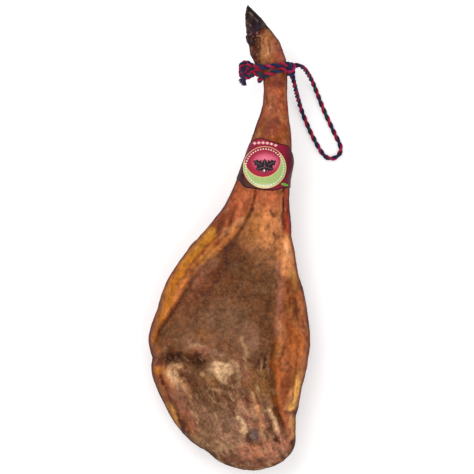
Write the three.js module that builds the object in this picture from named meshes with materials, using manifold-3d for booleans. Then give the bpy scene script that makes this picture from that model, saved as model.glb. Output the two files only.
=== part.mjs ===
// A whole cured ham with its hoof, lying on its rind side with the meat face up.
// Millimetres, +Z up, hoof towards +Y. The ham rests on z = 0.
import * as THREE from 'three';
import { mergeVertices } from 'three/addons/utils/BufferGeometryUtils.js';
import Module from 'manifold-3d';

// Driving dimensions.
// The leg: y, left x, right x, top z and bottom z of its section at each station.
const LEG_STATIONS = [
  [-392, 37, 37, 59, 59],
  [-386, 6, 66, 74, 50],
  [-376, -17, 90, 86, 37],
  [-360, -38, 106, 97, 24],
  [-344, -63, 112, 103, 15],
  [-323, -84, 112, 108, 8],
  [-303, -98, 112, 111, 3],
  [-283, -109, 117, 114, -1],
  [-259, -120, 121, 116, -4],
  [-236, -129, 127, 117, -5],
  [-215, -132, 132, 118, -6],
  [-202, -130, 134, 118, -6],
  [-188, -134, 136, 118, -6],
  [-168, -137, 137, 118, -5],
  [-144, -131, 135, 117, -4],
  [-114, -120, 131, 116, -1],
  [-84, -110, 124, 114, 4],
  [-53, -95, 115, 112, 10],
  [-23, -74, 110, 113, 17],
  [4, -50, 105, 113, 24],
  [31, -27, 103, 114, 31],
  [58, -7, 102, 116, 38],
  [89, 8, 102, 117, 45],
  [119, 20, 104, 115, 50],
  [149, 31, 105, 113, 55],
  [180, 41, 104, 110, 59],
  [207, 51, 100, 107, 62],
  [230, 57, 98, 105, 64],
  [268, 56, 97, 103, 66],
  [298, 41, 95, 104, 65],
  [327, 33, 86, 105, 64],
  [342, 33, 77, 105, 64],
  [353, 38, 68, 102, 66],
  [359, 52, 52, 84, 84],
];
const LEG_RINGS = 82;
const TOP_SIDES = 28;
const UNDERSIDE_SIDES = 18;
const WIDEST_LEVEL = 0.47;
const SHANK_ROUNDNESS = 2.15;
const MEAT_FLATNESS = 2.5;
const RIND_ROUNDNESS = 2;

// The claws: y, left x, right x, top z and bottom z about the claw's own mid-plane.
const CLAW_STATIONS = [
  [326, 48, 48, 0, 0],
  [333, 36, 66, 8, -8],
  [345, 29, 67, 10, -10],
  [358, 27, 63, 10, -10],
  [370, 27, 54, 9, -9],
  [381, 27.5, 43, 7, -7],
  [388, 28.5, 35.5, 4.5, -4.5],
  [392.5, 31, 31, 0, 0],
];
const CLAW_RINGS = 16;
const CLAW_SIDES = 16;
const FOOT_LEVEL = 84;
const CLAW_OFFSET = 11.2;
const LOWER_CLAW_SHIFT = [1.5, -3];
const DEWCLAW_CENTRE = [34, 331];
const DEWCLAW_OFFSET = 13;
const DEWCLAW_LENGTH = 20;
const DEWCLAW_RADIUS = 7.5;
const DEWCLAW_TURN = 0.9;
const DEWCLAW_SIDES = 12;

// Broad folds and hollows pressed into the meat face: route in x and y, half width, depth.
const FOLDS = [
  { route: [[-2, 42], [-38, -21], [-66, -51], [-84, -98], [-121, -174]], reach: 8, depth: 3.5 },
  { route: [[-134, -200], [-78, -206], [-39, -222]], reach: 11, depth: 6 },
  { route: [[-92, -198], [-80, -200]], reach: 15, depth: 5 },
  { route: [[-43, -209], [-40, -212]], reach: 14, depth: 6 },
  { route: [[-12, -8], [2, -28]], reach: 24, depth: 5 },
  { route: [[40, 80], [30, 40], [8, 0]], reach: 9, depth: 3 },
  { route: [[88, 76], [92, 16], [86, -40], [79, -112], [74, -180]], reach: 9, depth: 2 },
  { route: [[73, -192], [73, -242], [75, -273], [83, -302], [97, -333]], reach: 10, depth: 6 },
  { route: [[-78, -232], [-60, -250], [-50, -288]], reach: 13, depth: 4 },
];
const RIDGES = [
  { route: [[-118, -188], [-56, -190]], reach: 11, depth: 3 },
  { route: [[84, -225], [84, -276], [97, -312]], reach: 9, depth: 3.5 },
  { route: [[42, -318], [46, -340]], reach: 16, depth: 3 },
  { route: [[20, -190], [-14, -220], [8, -246]], reach: 14, depth: 2.5 },
];

// The printed band round the shank: edge heights along y by angle round the leg in degrees.
const BAND_TOP = [[0, 137], [14, 145], [44, 158], [66, 160], [86, 163.5], [104, 169], [130, 162],
  [155, 154], [180, 146], [230, 140], [300, 138], [360, 137]];
const BAND_BOTTOM = [[0, 86], [49, 84], [69, 79.5], [94, 82], [125, 86], [145, 96], [180, 102],
  [230, 98], [300, 90], [360, 86]];
const BAND_ROWS = 5;
const BAND_GAP = 0.7;
const BAND_THICKNESS = 0.7;

// The rope: one length with its ends tied together, hitched round the ankle. It is a little
// fatter where it is slack in the hitch, and the knot is drawn as one doubled rope.
const ROPE_RADIUS = 4.1;
const HITCH_RADIUS = 4.6;
const KNOT_RADIUS = 5.2;
const ROPE_SIDES = 8;
const ROPE_GAP = 0.6;
// Angles round the ankle, from the bight over the front and left to where the strands come up.
const FRONT_START = 0.55;
const BACK_START = Math.PI + 0.35;
const BACK_END = 2 * Math.PI - 0.5;
const WRAP_POINTS = 9;
const STEPS_A_POINT = 2;
// Each strand: its y at the bight, at the left, behind the ankle and at the right, then its end.
const STRANDS = [
  { y: [291, 284.5, 284, 287], end: [[102.6, 288.8, 79.8], [106, 290.3, 84], [110, 291, 85]] },
  { y: [283, 272, 272.5, 279], end: [[103.4, 277.5, 80.5], [106.2, 273, 83.2], [107.4, 269, 83]] },
];
const BIGHT_ROUTE = [[106.5, 293, 97], [109.5, 286.5, 96.5], [108.5, 277, 96.5], [103, 274.5, 97.5]];
const KNOT_CENTRE = [31, 283, 91];
const KNOT_REACH = [9, 8.2];
const KNOT_THICKNESS = 6.5;
const KNOT_LOBES = 0.42;
const KNOT_START = 0.25;
const KNOT_TURN = 5.8;
const KNOT_POINTS = 15;
const KNOT_STEPS = 36;
const STUB_ROUTES = [
  [[33, 280, 94], [27, 272, 93], [23, 261, 87]],
  [[33, 284, 86], [27, 276, 82], [22, 267, 76]],
];
const STUB_STEPS = 6;
const LOOP_ROUTE = [
  [112.6, 291.3, 85.2], [117.6, 290.9, 83], [122.2, 289.2, 77.6], [126.8, 286, 67.5],
  [131.5, 280.5, 51], [140, 267.5, 24], [149.5, 246, 7.5], [160, 220, 4.3], [169, 200, 4.3],
  [180.3, 176, 4.3], [188.2, 159.5, 4.3], [189.4, 149.8, 4.3], [184.9, 141, 4.3],
  [176.5, 136.4, 4.3], [166.9, 137.4, 4.3], [159.2, 143.8, 4.3], [151, 156.5, 4.3],
  [142, 173, 4.3], [131, 197, 4.3], [122, 220, 8], [116, 238, 30], [112, 251, 60],
  [109.6, 260, 74.5], [108.3, 265.6, 80.8],
];
const LOOP_STEPS = 68;

// A ring of numbers carried smoothly through the stations: a cubic through each pair, with
// the first and last stations mirrored about the tip so that both ends close round.
function stationCurve(stations) {
  const first = stations[1];
  const last = stations[stations.length - 2];
  const rows = [
    [first[0], first[2], first[1], first[4], first[3]],
    ...stations,
    [last[0], last[2], last[1], last[4], last[3]],
  ];
  const places = [0];
  for (let i = 1; i < rows.length; i += 1) {
    const steps = rows[i].map((value, k) => value - rows[i - 1][k]);
    const sideways = steps.slice(1).reduce((sum, step) => sum + step * step, 0) / 4;
    places.push(places[i - 1] + Math.sqrt(steps[0] * steps[0] + sideways));
  }
  const start = places[1];
  const end = places[places.length - 2];
  return (fraction) => {
    const place = start + fraction * (end - start);
    let i = 1;
    while (i < rows.length - 3 && place > places[i + 1]) i += 1;
    const span = places[i + 1] - places[i];
    const u = (place - places[i]) / span;
    return rows[i].map((value, k) => {
      const next = rows[i + 1][k];
      const slopeHere = (next - rows[i - 1][k]) / (places[i + 1] - places[i - 1]);
      const slopeNext = (rows[i + 2][k] - value) / (places[i + 2] - places[i]);
      return (2 * u ** 3 - 3 * u ** 2 + 1) * value + (u ** 3 - 2 * u ** 2 + u) * span * slopeHere
        + (3 * u ** 2 - 2 * u ** 3) * next + (u ** 3 - u ** 2) * span * slopeNext;
    });
  };
}

// A step that rises smoothly from 0 to 1 between two values.
function smoothStep(low, high, value) {
  const u = Math.min(1, Math.max(0, (value - low) / (high - low)));
  return u * u * (3 - 2 * u);
}

// A signed power, which turns a circle into a rounded square.
function signedPower(value, power) {
  return Math.sign(value) * Math.abs(value) ** power;
}

// The shortest distance from a point to a route of straight lines in plan.
function distanceToRoute(x, y, route) {
  let nearest = Infinity;
  for (let i = 1; i < route.length; i += 1) {
    const [ax, ay] = route[i - 1];
    const dx = route[i][0] - ax;
    const dy = route[i][1] - ay;
    const along = ((x - ax) * dx + (y - ay) * dy) / (dx * dx + dy * dy);
    const u = Math.min(1, Math.max(0, along));
    nearest = Math.min(nearest, Math.hypot(x - ax - u * dx, y - ay - u * dy));
  }
  return nearest;
}

// How far the meat face stands up or sinks at a place in plan.
function meatRelief(x, y) {
  let rise = 0;
  for (const fold of FOLDS) {
    rise -= fold.depth * Math.exp(-((distanceToRoute(x, y, fold.route) / fold.reach) ** 2));
  }
  for (const ridge of RIDGES) {
    rise += ridge.depth * Math.exp(-((distanceToRoute(x, y, ridge.route) / ridge.reach) ** 2));
  }
  return rise;
}

const legCurve = stationCurve(LEG_STATIONS);

// A point of the leg's skin: a fraction of the way from rump to hoof, and an angle round the
// section, 0 at the right, a quarter turn at the top. The lowest part is pressed flat.
function legPoint(fraction, angle) {
  const [y, left, right, top, bottom] = legCurve(fraction);
  const flatness = smoothStep(150, -60, y);
  const level = bottom + (top - bottom) * WIDEST_LEVEL;
  const up = Math.sin(angle);
  const roundness = up > 0
    ? SHANK_ROUNDNESS + (MEAT_FLATNESS - SHANK_ROUNDNESS) * flatness
    : RIND_ROUNDNESS;
  const half = (right - left) / 2;
  const height = up > 0 ? top - level : level - bottom;
  const x = (left + right) / 2 + half * signedPower(Math.cos(angle), 2 / roundness);
  let z = level + height * signedPower(up, 2 / roundness);
  z += smoothStep(0.05, 0.55, up) * smoothStep(80, 50, y) * meatRelief(x, y);
  return new THREE.Vector3(x, y, Math.max(z, 0));
}

// The fraction along the leg at which its section lies at a given y.
function legFraction(y) {
  let low = 0.02;
  let high = 0.98;
  for (let i = 0; i < 30; i += 1) {
    const middle = (low + high) / 2;
    if (legCurve(middle)[0] < y) low = middle;
    else high = middle;
  }
  return (low + high) / 2;
}

// A point held a distance off the leg's skin, along the skin's own normal.
function offSkin(y, angle, distance) {
  const fraction = legFraction(y);
  const step = 0.004;
  const along = legPoint(fraction + step, angle).sub(legPoint(fraction - step, angle));
  const around = legPoint(fraction, angle + 0.05).sub(legPoint(fraction, angle - 0.05));
  const normal = around.cross(along).normalize();
  if (normal.z * Math.sin(angle) + normal.x * Math.cos(angle) < 0) normal.negate();
  return legPoint(fraction, angle).addScaledVector(normal, distance);
}

// A closed skin from a sphere whose every vertex is carried to a point of the given surface.
function skinGeometry(sides, rings, surface) {
  const geometry = new THREE.SphereGeometry(1, sides, rings);
  const position = geometry.attributes.position;
  const uv = geometry.attributes.uv;
  for (let i = 0; i < position.count; i += 1) {
    const point = surface(uv.getY(i), uv.getX(i));
    position.setXYZ(i, point.x, point.y, point.z);
  }
  return geometry;
}

// The angle round the leg for a share of its sides: over the meat face from left to right,
// then back under the rind side.
function legAngle(share) {
  const side = share * (TOP_SIDES + UNDERSIDE_SIDES);
  if (side <= TOP_SIDES) return Math.PI * (1 - side / TOP_SIDES);
  return (-Math.PI * (side - TOP_SIDES)) / UNDERSIDE_SIDES;
}

// One claw: a flattened cone from the coronet to its tip, on its own mid-plane.
function clawPoint(curve, fraction, share) {
  const angle = Math.PI - 2 * Math.PI * share;
  const [y, left, right, top, bottom] = curve(fraction);
  const x = (left + right) / 2 + ((right - left) / 2) * Math.cos(angle);
  return new THREE.Vector3(x, y, (top + bottom) / 2 + ((top - bottom) / 2) * Math.sin(angle));
}

// A rope along a smooth route of points, closed at both ends.
function ropeGeometry(points, radius, segments) {
  const vectors = points.map((point) => (point.isVector3 ? point : new THREE.Vector3(...point)));
  const path = new THREE.CatmullRomCurve3(vectors, false, 'centripetal');
  const section = new THREE.Shape();
  for (let i = 0; i < ROPE_SIDES; i += 1) {
    const angle = (2 * Math.PI * (i + 0.5)) / ROPE_SIDES;
    const x = radius * Math.cos(angle);
    const y = radius * Math.sin(angle);
    if (i === 0) section.moveTo(x, y);
    else section.lineTo(x, y);
  }
  section.closePath();
  return new THREE.ExtrudeGeometry(section, {
    steps: segments,
    bevelEnabled: false,
    extrudePath: path,
  });
}

const wasm = await Module();
wasm.setup();

// Turn a three.js geometry into a solid that can be joined and cut.
function toSolid(geometry, matrix) {
  const bare = geometry.clone();
  bare.deleteAttribute('normal');
  bare.deleteAttribute('uv');
  if (matrix) bare.applyMatrix4(matrix);
  const merged = mergeVertices(bare, 1e-3);
  return new wasm.Manifold(new wasm.Mesh({
    numProp: 3,
    vertProperties: new Float32Array(merged.attributes.position.array),
    triVerts: new Uint32Array(merged.index.array),
  }));
}

// Turn a joined solid back into a three.js geometry.
function toGeometry(solid) {
  const mesh = solid.getMesh();
  const geometry = new THREE.BufferGeometry();
  geometry.setAttribute('position', new THREE.BufferAttribute(new Float32Array(mesh.vertProperties), 3));
  geometry.setIndex(new THREE.BufferAttribute(new Uint32Array(mesh.triVerts), 1));
  geometry.computeVertexNormals();
  return geometry;
}

// The ham: the leg with its skin and meat face, and the foot's claws and dewclaws, one piece.
function hamGeometry() {
  const legSides = TOP_SIDES + UNDERSIDE_SIDES;
  const leg = skinGeometry(legSides, LEG_RINGS, (along, share) => legPoint(along, legAngle(share)));
  let solid = toSolid(leg);
  const clawCurve = stationCurve(CLAW_STATIONS);
  const claw = skinGeometry(CLAW_SIDES, CLAW_RINGS, (along, share) => clawPoint(clawCurve, along, share));
  for (const side of [-1, 1]) {
    const shift = side < 0 ? LOWER_CLAW_SHIFT : [0, 0];
    const place = new THREE.Matrix4().makeTranslation(...shift, FOOT_LEVEL + side * CLAW_OFFSET);
    solid = solid.add(toSolid(claw, place));
    const dewclaw = new THREE.ConeGeometry(DEWCLAW_RADIUS, DEWCLAW_LENGTH, DEWCLAW_SIDES);
    const turned = new THREE.Matrix4().makeRotationZ(DEWCLAW_TURN);
    turned.setPosition(...DEWCLAW_CENTRE, FOOT_LEVEL + side * DEWCLAW_OFFSET);
    solid = solid.add(toSolid(dewclaw, turned));
  }
  return toGeometry(solid);
}

// Read a table of angle and height with smooth steps between its rows.
function heightAt(table, degrees) {
  let i = 1;
  while (i < table.length - 1 && degrees > table[i][0]) i += 1;
  const [fromAngle, fromHeight] = table[i - 1];
  const [toAngle, toHeight] = table[i];
  const share = (degrees - fromAngle) / (toAngle - fromAngle);
  return fromHeight + (toHeight - fromHeight) * share;
}

// The band: a torus whose section is drawn out into a thin wall round the shank.
function bandGeometry() {
  const across = 2 * BAND_ROWS + 2;
  const sides = TOP_SIDES + UNDERSIDE_SIDES;
  const geometry = new THREE.TorusGeometry(1, 0.4, across, sides);
  const position = geometry.attributes.position;
  const uv = geometry.attributes.uv;
  for (let i = 0; i < position.count; i += 1) {
    const step = Math.round(uv.getY(i) * across) % across;
    const outer = step <= BAND_ROWS;
    const row = outer ? step : across - 1 - step;
    const angle = legAngle((Math.round(uv.getX(i) * sides) % sides) / sides);
    const degrees = (angle * 180) / Math.PI + (angle < 0 ? 360 : 0);
    const low = heightAt(BAND_BOTTOM, degrees);
    const high = heightAt(BAND_TOP, degrees);
    const y = low + ((high - low) * row) / BAND_ROWS;
    const point = offSkin(y, angle, BAND_GAP + (outer ? BAND_THICKNESS : 0));
    position.setXYZ(i, point.x, point.y, point.z);
  }
  return geometry;
}

// Points of a rope that lies on the ankle, from one angle round it to another.
function wrapPoints(fromAngle, toAngle, fromY, toY) {
  return Array.from({ length: WRAP_POINTS }, (_, i) => {
    const u = i / (WRAP_POINTS - 1);
    const angle = fromAngle + (toAngle - fromAngle) * u;
    return offSkin(fromY + (toY - fromY) * u, angle, HITCH_RADIUS + ROPE_GAP);
  });
}

// Points along the knot: a trefoil with a small opening where the rope's ends come in.
function knotPoint(i) {
  const turn = KNOT_START + (KNOT_TURN * i) / (KNOT_POINTS - 1);
  const reach = 1 + KNOT_LOBES * Math.cos(3 * turn);
  return [
    KNOT_CENTRE[0] + KNOT_REACH[0] * reach * Math.cos(2 * turn),
    KNOT_CENTRE[1] + KNOT_REACH[1] * reach * Math.sin(2 * turn),
    KNOT_CENTRE[2] + KNOT_THICKNESS * Math.sin(3 * turn),
  ];
}

// The hitch: two strands round the ankle, the bight over them at the right, and the knot that
// ties the rope's two ends together at the left, with its two stub ends.
function hitchGeometry() {
  const off = HITCH_RADIUS + ROPE_GAP;
  const routes = STRANDS.map(({ y, end }) => [
    ...wrapPoints(FRONT_START, Math.PI, y[0], y[1]),
    ...wrapPoints(BACK_START, BACK_END, y[2], y[3]),
    ...end,
  ]);
  routes.push([
    offSkin(291, 0.9, off),
    offSkin(291.8, 0.5, off + 1.5),
    ...BIGHT_ROUTE,
    offSkin(281, 0.6, off + 1),
    offSkin(281.8, 0.95, off),
  ]);
  const knot = Array.from({ length: KNOT_POINTS }, (_, i) => knotPoint(i));
  const parts = [
    ...routes.map((route) => ropeGeometry(route, HITCH_RADIUS, route.length * STEPS_A_POINT)),
    ropeGeometry(knot, KNOT_RADIUS, KNOT_STEPS),
    ...STUB_ROUTES.map((route) => ropeGeometry(route, ROPE_RADIUS, STUB_STEPS)),
  ];
  return toGeometry(parts.map((part) => toSolid(part)).reduce((sum, solid) => sum.add(solid)));
}

// A plain dull material of one colour.
function surface(color, roughness) {
  return new THREE.MeshStandardMaterial({ color, roughness, metalness: 0 });
}

const pieces = [
  ['ham', hamGeometry(), surface(0x7c4b2e, 0.5)],
  ['label', bandGeometry(), surface(0x6e1420, 0.45)],
  ['rope_hitch', hitchGeometry(), surface(0x6a1c38, 0.9)],
  ['rope_loop', ropeGeometry(LOOP_ROUTE, ROPE_RADIUS, LOOP_STEPS), surface(0x6a1c38, 0.9)],
];

const object = new THREE.Group();
for (const [name, geometry, material] of pieces) {
  const mesh = new THREE.Mesh(geometry, material);
  mesh.name = name;
  object.add(mesh);
}

export default object;
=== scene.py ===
# A whole cured ham with its hoof, a printed band round its shank and a rope round its ankle.
# Sizes are in millimetres, in the part's own frame: +Y towards the hoof, +Z up.
import bpy
import numpy as np
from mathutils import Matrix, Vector


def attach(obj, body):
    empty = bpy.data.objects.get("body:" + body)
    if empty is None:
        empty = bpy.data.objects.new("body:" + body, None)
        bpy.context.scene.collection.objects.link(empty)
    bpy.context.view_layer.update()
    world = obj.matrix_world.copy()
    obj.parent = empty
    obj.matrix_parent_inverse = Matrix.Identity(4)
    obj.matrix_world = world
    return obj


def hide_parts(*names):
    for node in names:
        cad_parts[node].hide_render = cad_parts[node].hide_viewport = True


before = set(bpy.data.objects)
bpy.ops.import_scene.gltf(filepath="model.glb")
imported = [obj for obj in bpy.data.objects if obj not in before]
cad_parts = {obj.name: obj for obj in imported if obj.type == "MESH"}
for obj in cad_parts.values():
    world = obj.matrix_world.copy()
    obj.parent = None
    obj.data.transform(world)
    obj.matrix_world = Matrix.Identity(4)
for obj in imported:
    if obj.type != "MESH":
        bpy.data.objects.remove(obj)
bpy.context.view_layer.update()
scene = bpy.context.scene
MM = 0.001

# Camera
# The photograph looks straight down on the ham from far off, so the lens is long. The view
# is as wide as the photograph's frame at the level of the ham's widest outline.
VIEW_CENTRE = (13.0, 2.5)
VIEW_WIDTH = 800.3
VIEW_LEVEL = 60.0
VIEW_DISTANCE = 7000.0
SENSOR = 36.0
camera = bpy.data.cameras.new("camera")
camera.sensor_width = SENSOR
camera.lens = SENSOR * VIEW_DISTANCE / VIEW_WIDTH
camera_object = bpy.data.objects.new("camera", camera)
camera_object.location = Vector((*VIEW_CENTRE, VIEW_LEVEL + VIEW_DISTANCE)) * MM
scene.collection.objects.link(camera_object)
scene.camera = camera_object
scene.view_settings.view_transform = "Standard"

# Rope loop
# The free part of the rope: one length of soft cotton rope laid from two fat strands, one
# crimson and one navy. It leaves the hitch at the ankle, drops to the table and comes back.
ROPE_RADIUS = 4.1
ROPE_PITCH = 26.0
ROPE_STEP = 1.2
STRAND_SIDES = 24
STRAND_OFFSET = 0.4
STRAND_REACH = 0.6
YARNS = 7
YARN_PITCH = 9.0
YARN_DEPTH = 0.07
# A strand's brightness, how much darker its yarns' grooves are painted, as shade, and how much its single
# fibres change it at random.
STRAND_TONE = 0.74
YARN_SHADE = 0.24
FIBRE_SHADE = 0.18
# How wide the patches of a strand's second colour are.
COLOUR_PATCH = 11
LOOP_ROUTE = [
    (112.6, 291.3, 85.2), (117.6, 290.9, 83), (122.2, 289.2, 77.6), (126.8, 286, 67.5),
    (131.5, 280.5, 51), (140, 267.5, 24), (149.5, 246, 7.5), (160, 220, 4.3), (169, 200, 4.3),
    (180.3, 176, 4.3), (188.2, 159.5, 4.3), (189.4, 149.8, 4.3), (184.9, 141, 4.3),
    (176.5, 136.4, 4.3), (166.9, 137.4, 4.3), (159.2, 143.8, 4.3), (151, 156.5, 4.3),
    (142, 173, 4.3), (131, 197, 4.3), (122, 220, 8), (116, 238, 30), (112, 251, 60),
    (109.6, 260, 74.5), (108.3, 265.6, 80.8),
]
CRIMSON = (178, 16, 56)
MAGENTA = (170, 30, 96)
NAVY = (32, 42, 84)
TEAL = (34, 66, 76)
# Dark dirt in the fibres, as the linear colour that the renderer uses.
ROPE_DIRT = (0.02, 0.03, 0.05)
LATTICE_CELLS = 64
ROUTE_READINGS = 24


def linear(colour):
    """A display colour from 0 to 255 as the linear colour that the renderer uses."""
    share = np.array(colour, float) / 255
    return np.where(share > 0.04045, ((share + 0.055) / 1.055) ** 2.4, share / 12.92)


def lattice_noise(points, size, seed):
    """Random numbers from -1 to 1 on a lattice of that size, blended by smooth cubic steps."""
    random = np.random.default_rng(seed)
    lattice = random.uniform(-1, 1, (LATTICE_CELLS,) * 3)
    place = points / size
    cell = np.floor(place).astype(int)
    part = place - cell
    part = part * part * (3 - 2 * part)
    total = np.zeros(len(points))
    for corner in np.ndindex(2, 2, 2):
        share = np.prod(np.where(corner, part, 1 - part), axis=1)
        index = (cell + corner) % LATTICE_CELLS
        total += share * lattice[index[:, 0], index[:, 1], index[:, 2]]
    return total


def smooth_step(low, high, value):
    """Rises smoothly from 0 to 1 between two values."""
    share = np.clip((value - low) / (high - low), 0, 1)
    return share * share * (3 - 2 * share)


def smooth_route(points, step):
    """A cubic through each pair of points, in the square root of their distance, read evenly."""
    knots = np.array([tuple(point) for point in points], float)
    knots = np.vstack([2 * knots[0] - knots[1], knots, 2 * knots[-1] - knots[-2]])
    share = np.linspace(0, 1, ROUTE_READINGS, endpoint=False)[:, None]
    curves = []
    for before, start, end, after in zip(knots, knots[1:], knots[2:], knots[3:]):
        gap_in = np.linalg.norm(start - before) ** 0.5
        gap = np.linalg.norm(end - start) ** 0.5
        gap_out = np.linalg.norm(after - end) ** 0.5
        slope_in = (start - before) / gap_in - (end - before) / (gap_in + gap) + (end - start) / gap
        slope_out = (end - start) / gap - (after - start) / (gap + gap_out) + (after - end) / gap_out
        curves.append(
            (2 * share**3 - 3 * share**2 + 1) * start
            + (share**3 - 2 * share**2 + share) * gap * slope_in
            + (3 * share**2 - 2 * share**3) * end
            + (share**3 - share**2) * gap * slope_out
        )
    dense = np.vstack([*curves, knots[-2][None]])
    length = np.concatenate([[0], np.cumsum(np.linalg.norm(np.diff(dense, axis=0), axis=1))])
    reading = np.linspace(0, length[-1], max(3, round(length[-1] / step) + 1))
    return np.stack([np.interp(reading, length, dense[:, k]) for k in range(3)], axis=1)


def route_frames(line):
    """Two sideways directions at each point of a line, carried along it without twisting."""
    direction = np.gradient(line, axis=0)
    direction /= np.linalg.norm(direction, axis=1, keepdims=True)
    start = np.cross(direction[0], (0.3, 0.2, 1))
    side = np.tile(start / np.linalg.norm(start), (len(line), 1))
    for i in range(1, len(line)):
        carried = side[i - 1] - side[i - 1].dot(direction[i]) * direction[i]
        side[i] = carried / np.linalg.norm(carried)
    return side, np.cross(direction, side)


def spokes(angles, side, up):
    """Directions at these angles from one sideways direction towards the other."""
    return np.cos(angles)[..., None] * side + np.sin(angles)[..., None] * up


def tube_faces(rings, sides, first=0):
    """Quads between rings of points that each close round, as corner numbers."""
    ring, side = np.meshgrid(np.arange(rings - 1), np.arange(sides), indexing="ij")
    ring, side = ring.ravel(), side.ravel()
    after = (side + 1) % sides
    corners = [ring * sides + side, ring * sides + after]
    corners += [(ring + 1) * sides + after, (ring + 1) * sides + side]
    return np.stack(corners, axis=1) + first


def end_faces(rings, sides, first=0):
    """The two many-sided faces that close a tube's ends."""
    around = np.arange(sides)
    return [(first + around[::-1]).tolist(), (first + (rings - 1) * sides + around).tolist()]


def new_piece(name, points, faces, tint):
    """A smooth mesh object at the origin, with its colours in the attribute Tint."""
    mesh = bpy.data.meshes.new(name)
    mesh.from_pydata((np.asarray(points) * MM).tolist(), [], faces)
    mesh.shade_smooth()
    colours = mesh.color_attributes.new("Tint", "FLOAT_COLOR", "POINT")
    colours.data.foreach_set("color", np.c_[tint, np.ones(len(tint))].astype(np.float32).ravel())
    piece = bpy.data.objects.new(name, mesh)
    scene.collection.objects.link(piece)
    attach(piece, "root")
    return piece


def twisted_rope(name, lines, radius, pitch, seed):
    """Two tubes that turn round each line once a pitch, pressed into each other; round each tube
    its yarns show as shallow grooves turning the other way. The grooves are painted darker as
    shade, and each tube is painted darker towards the rope's middle, as shade where the strands meet."""
    around = np.linspace(0, 2 * np.pi, STRAND_SIDES, endpoint=False)
    random = np.random.default_rng(seed)
    points, faces, tints = [], [], []
    count = 0
    for line in lines:
        side, up = route_frames(line)
        along = np.concatenate([[0], np.cumsum(np.linalg.norm(np.diff(line, axis=0), axis=1))])
        for k, (main, second) in enumerate([(CRIMSON, MAGENTA), (NAVY, TEAL)]):
            turn = 2 * np.pi * (along / pitch + k / 2)
            centre = line + radius * STRAND_OFFSET * spokes(turn, side, up)
            yarn = np.cos(YARNS * around[None] + 2 * np.pi * along[:, None] / YARN_PITCH)
            reach = radius * STRAND_REACH * (1 + YARN_DEPTH * yarn)
            ring = centre[:, None] + reach[..., None] * spokes(around, side[:, None], up[:, None])
            flat = ring.reshape(-1, 3)
            patches = smooth_step(-0.1, 0.5, lattice_noise(flat, COLOUR_PATCH, seed + 90 + k))
            base = linear(main) + patches[:, None] * (linear(second) - linear(main))
            # Painted shade: each strand is darker towards the rope's middle, where it meets the other
            # strand, and in its yarns' grooves.
            inner = ((ring - line[:, None]) ** 2).sum(axis=-1) ** 0.5 / radius
            fibres = FIBRE_SHADE * random.standard_normal(yarn.shape)
            shade = (STRAND_TONE + YARN_SHADE * yarn + fibres) * smooth_step(0.3, 1, inner)
            points.append(flat)
            tints.append(np.clip(shade, 0.2, 1.6).reshape(-1, 1) * base)
            faces += tube_faces(len(line), STRAND_SIDES, count).tolist()
            faces += end_faces(len(line), STRAND_SIDES, count)
            count += len(line) * STRAND_SIDES
    return new_piece(name, np.vstack(points), faces, np.vstack(tints))


def set_inputs(tree, node, inputs):
    """Links the inputs of a shader node that come from another, and sets the others."""
    for key, value in inputs.items():
        if isinstance(value, bpy.types.NodeSocket):
            tree.links.new(value, node.inputs[key])
        else:
            node.inputs[key].default_value = value


def add_node(tree, kind, inputs, **settings):
    """Adds a shader node with its settings and its inputs."""
    node = tree.nodes.new(kind)
    for key, value in settings.items():
        setattr(node, key, value)
    set_inputs(tree, node, inputs)
    return node


def new_material(name):
    """An empty material: its node tree, its surface shader and the object's own coordinates."""
    material = bpy.data.materials.new(name)
    material.use_nodes = True
    tree = material.node_tree
    shader = tree.nodes["Principled BSDF"]
    place = add_node(tree, "ShaderNodeTexCoord", {}).outputs["Object"]
    return material, tree, shader, place


def ramp(tree, value, low, high, to_low, to_high):
    """Maps a value between two limits to another range, held at its ends."""
    node = add_node(tree, "ShaderNodeMapRange", {
        "Value": value, "From Min": low, "From Max": high, "To Min": to_low, "To Max": to_high,
    })
    return node.outputs["Result"]


def noise(tree, place, scale, detail=4.0, roughness=0.6, distortion=0.0):
    """Soft noise whose blobs are about one over the scale of a metre wide."""
    node = add_node(tree, "ShaderNodeTexNoise", {
        "Vector": place, "Scale": scale, "Detail": detail, "Roughness": roughness,
        "Distortion": distortion,
    })
    return node.outputs["Fac"]


def times(tree, colour, value):
    """A colour made lighter or darker by a value."""
    node = add_node(tree, "ShaderNodeVectorMath", {0: colour, 1: value}, operation="MULTIPLY")
    return node.outputs["Vector"]


def number(tree, operation, *values):
    """The result of arithmetic on two or three numbers."""
    return add_node(tree, "ShaderNodeMath", dict(enumerate(values)), operation=operation).outputs[0]


def blend(tree, share, colour, other):
    """A colour moved towards a linear colour by a share."""
    inputs = {0: share, 6: colour, 7: (*other, 1)}
    return add_node(tree, "ShaderNodeMix", inputs, data_type="RGBA").outputs[2]


def bump(tree, height, strength, distance, **beneath):
    """The shading of a fine relief, that many metres deep, on top of another where one is given."""
    inputs = {"Height": height, "Strength": strength, "Distance": distance, **beneath}
    return add_node(tree, "ShaderNodeBump", inputs).outputs["Normal"]


def attribute(tree, name, output="Fac"):
    """One of the piece's own attributes, read at each point."""
    return add_node(tree, "ShaderNodeAttribute", {}, attribute_name=name).outputs[output]


def rope_material():
    """Soft cotton: the strands' own colours, worn and dirty in places, with fine fibres."""
    material, tree, shader, place = new_material("rope_cotton")
    fibres = noise(tree, place, 2600, 3, 0.7)
    colour = times(tree, attribute(tree, "Tint", "Color"), ramp(tree, fibres, 0.3, 0.7, 0.7, 1.35))
    dirty = ramp(tree, noise(tree, place, 160, 4, 0.6), 0.5, 0.75, 0.0, 0.4)
    set_inputs(tree, shader, {
        "Base Color": blend(tree, dirty, colour, ROPE_DIRT),
        "Normal": bump(tree, fibres, 0.6, 0.0006),
        "Roughness": 0.9,
        "Specular IOR Level": 0.15,
        "Sheen Weight": 0.08,
    })
    return material


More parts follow.
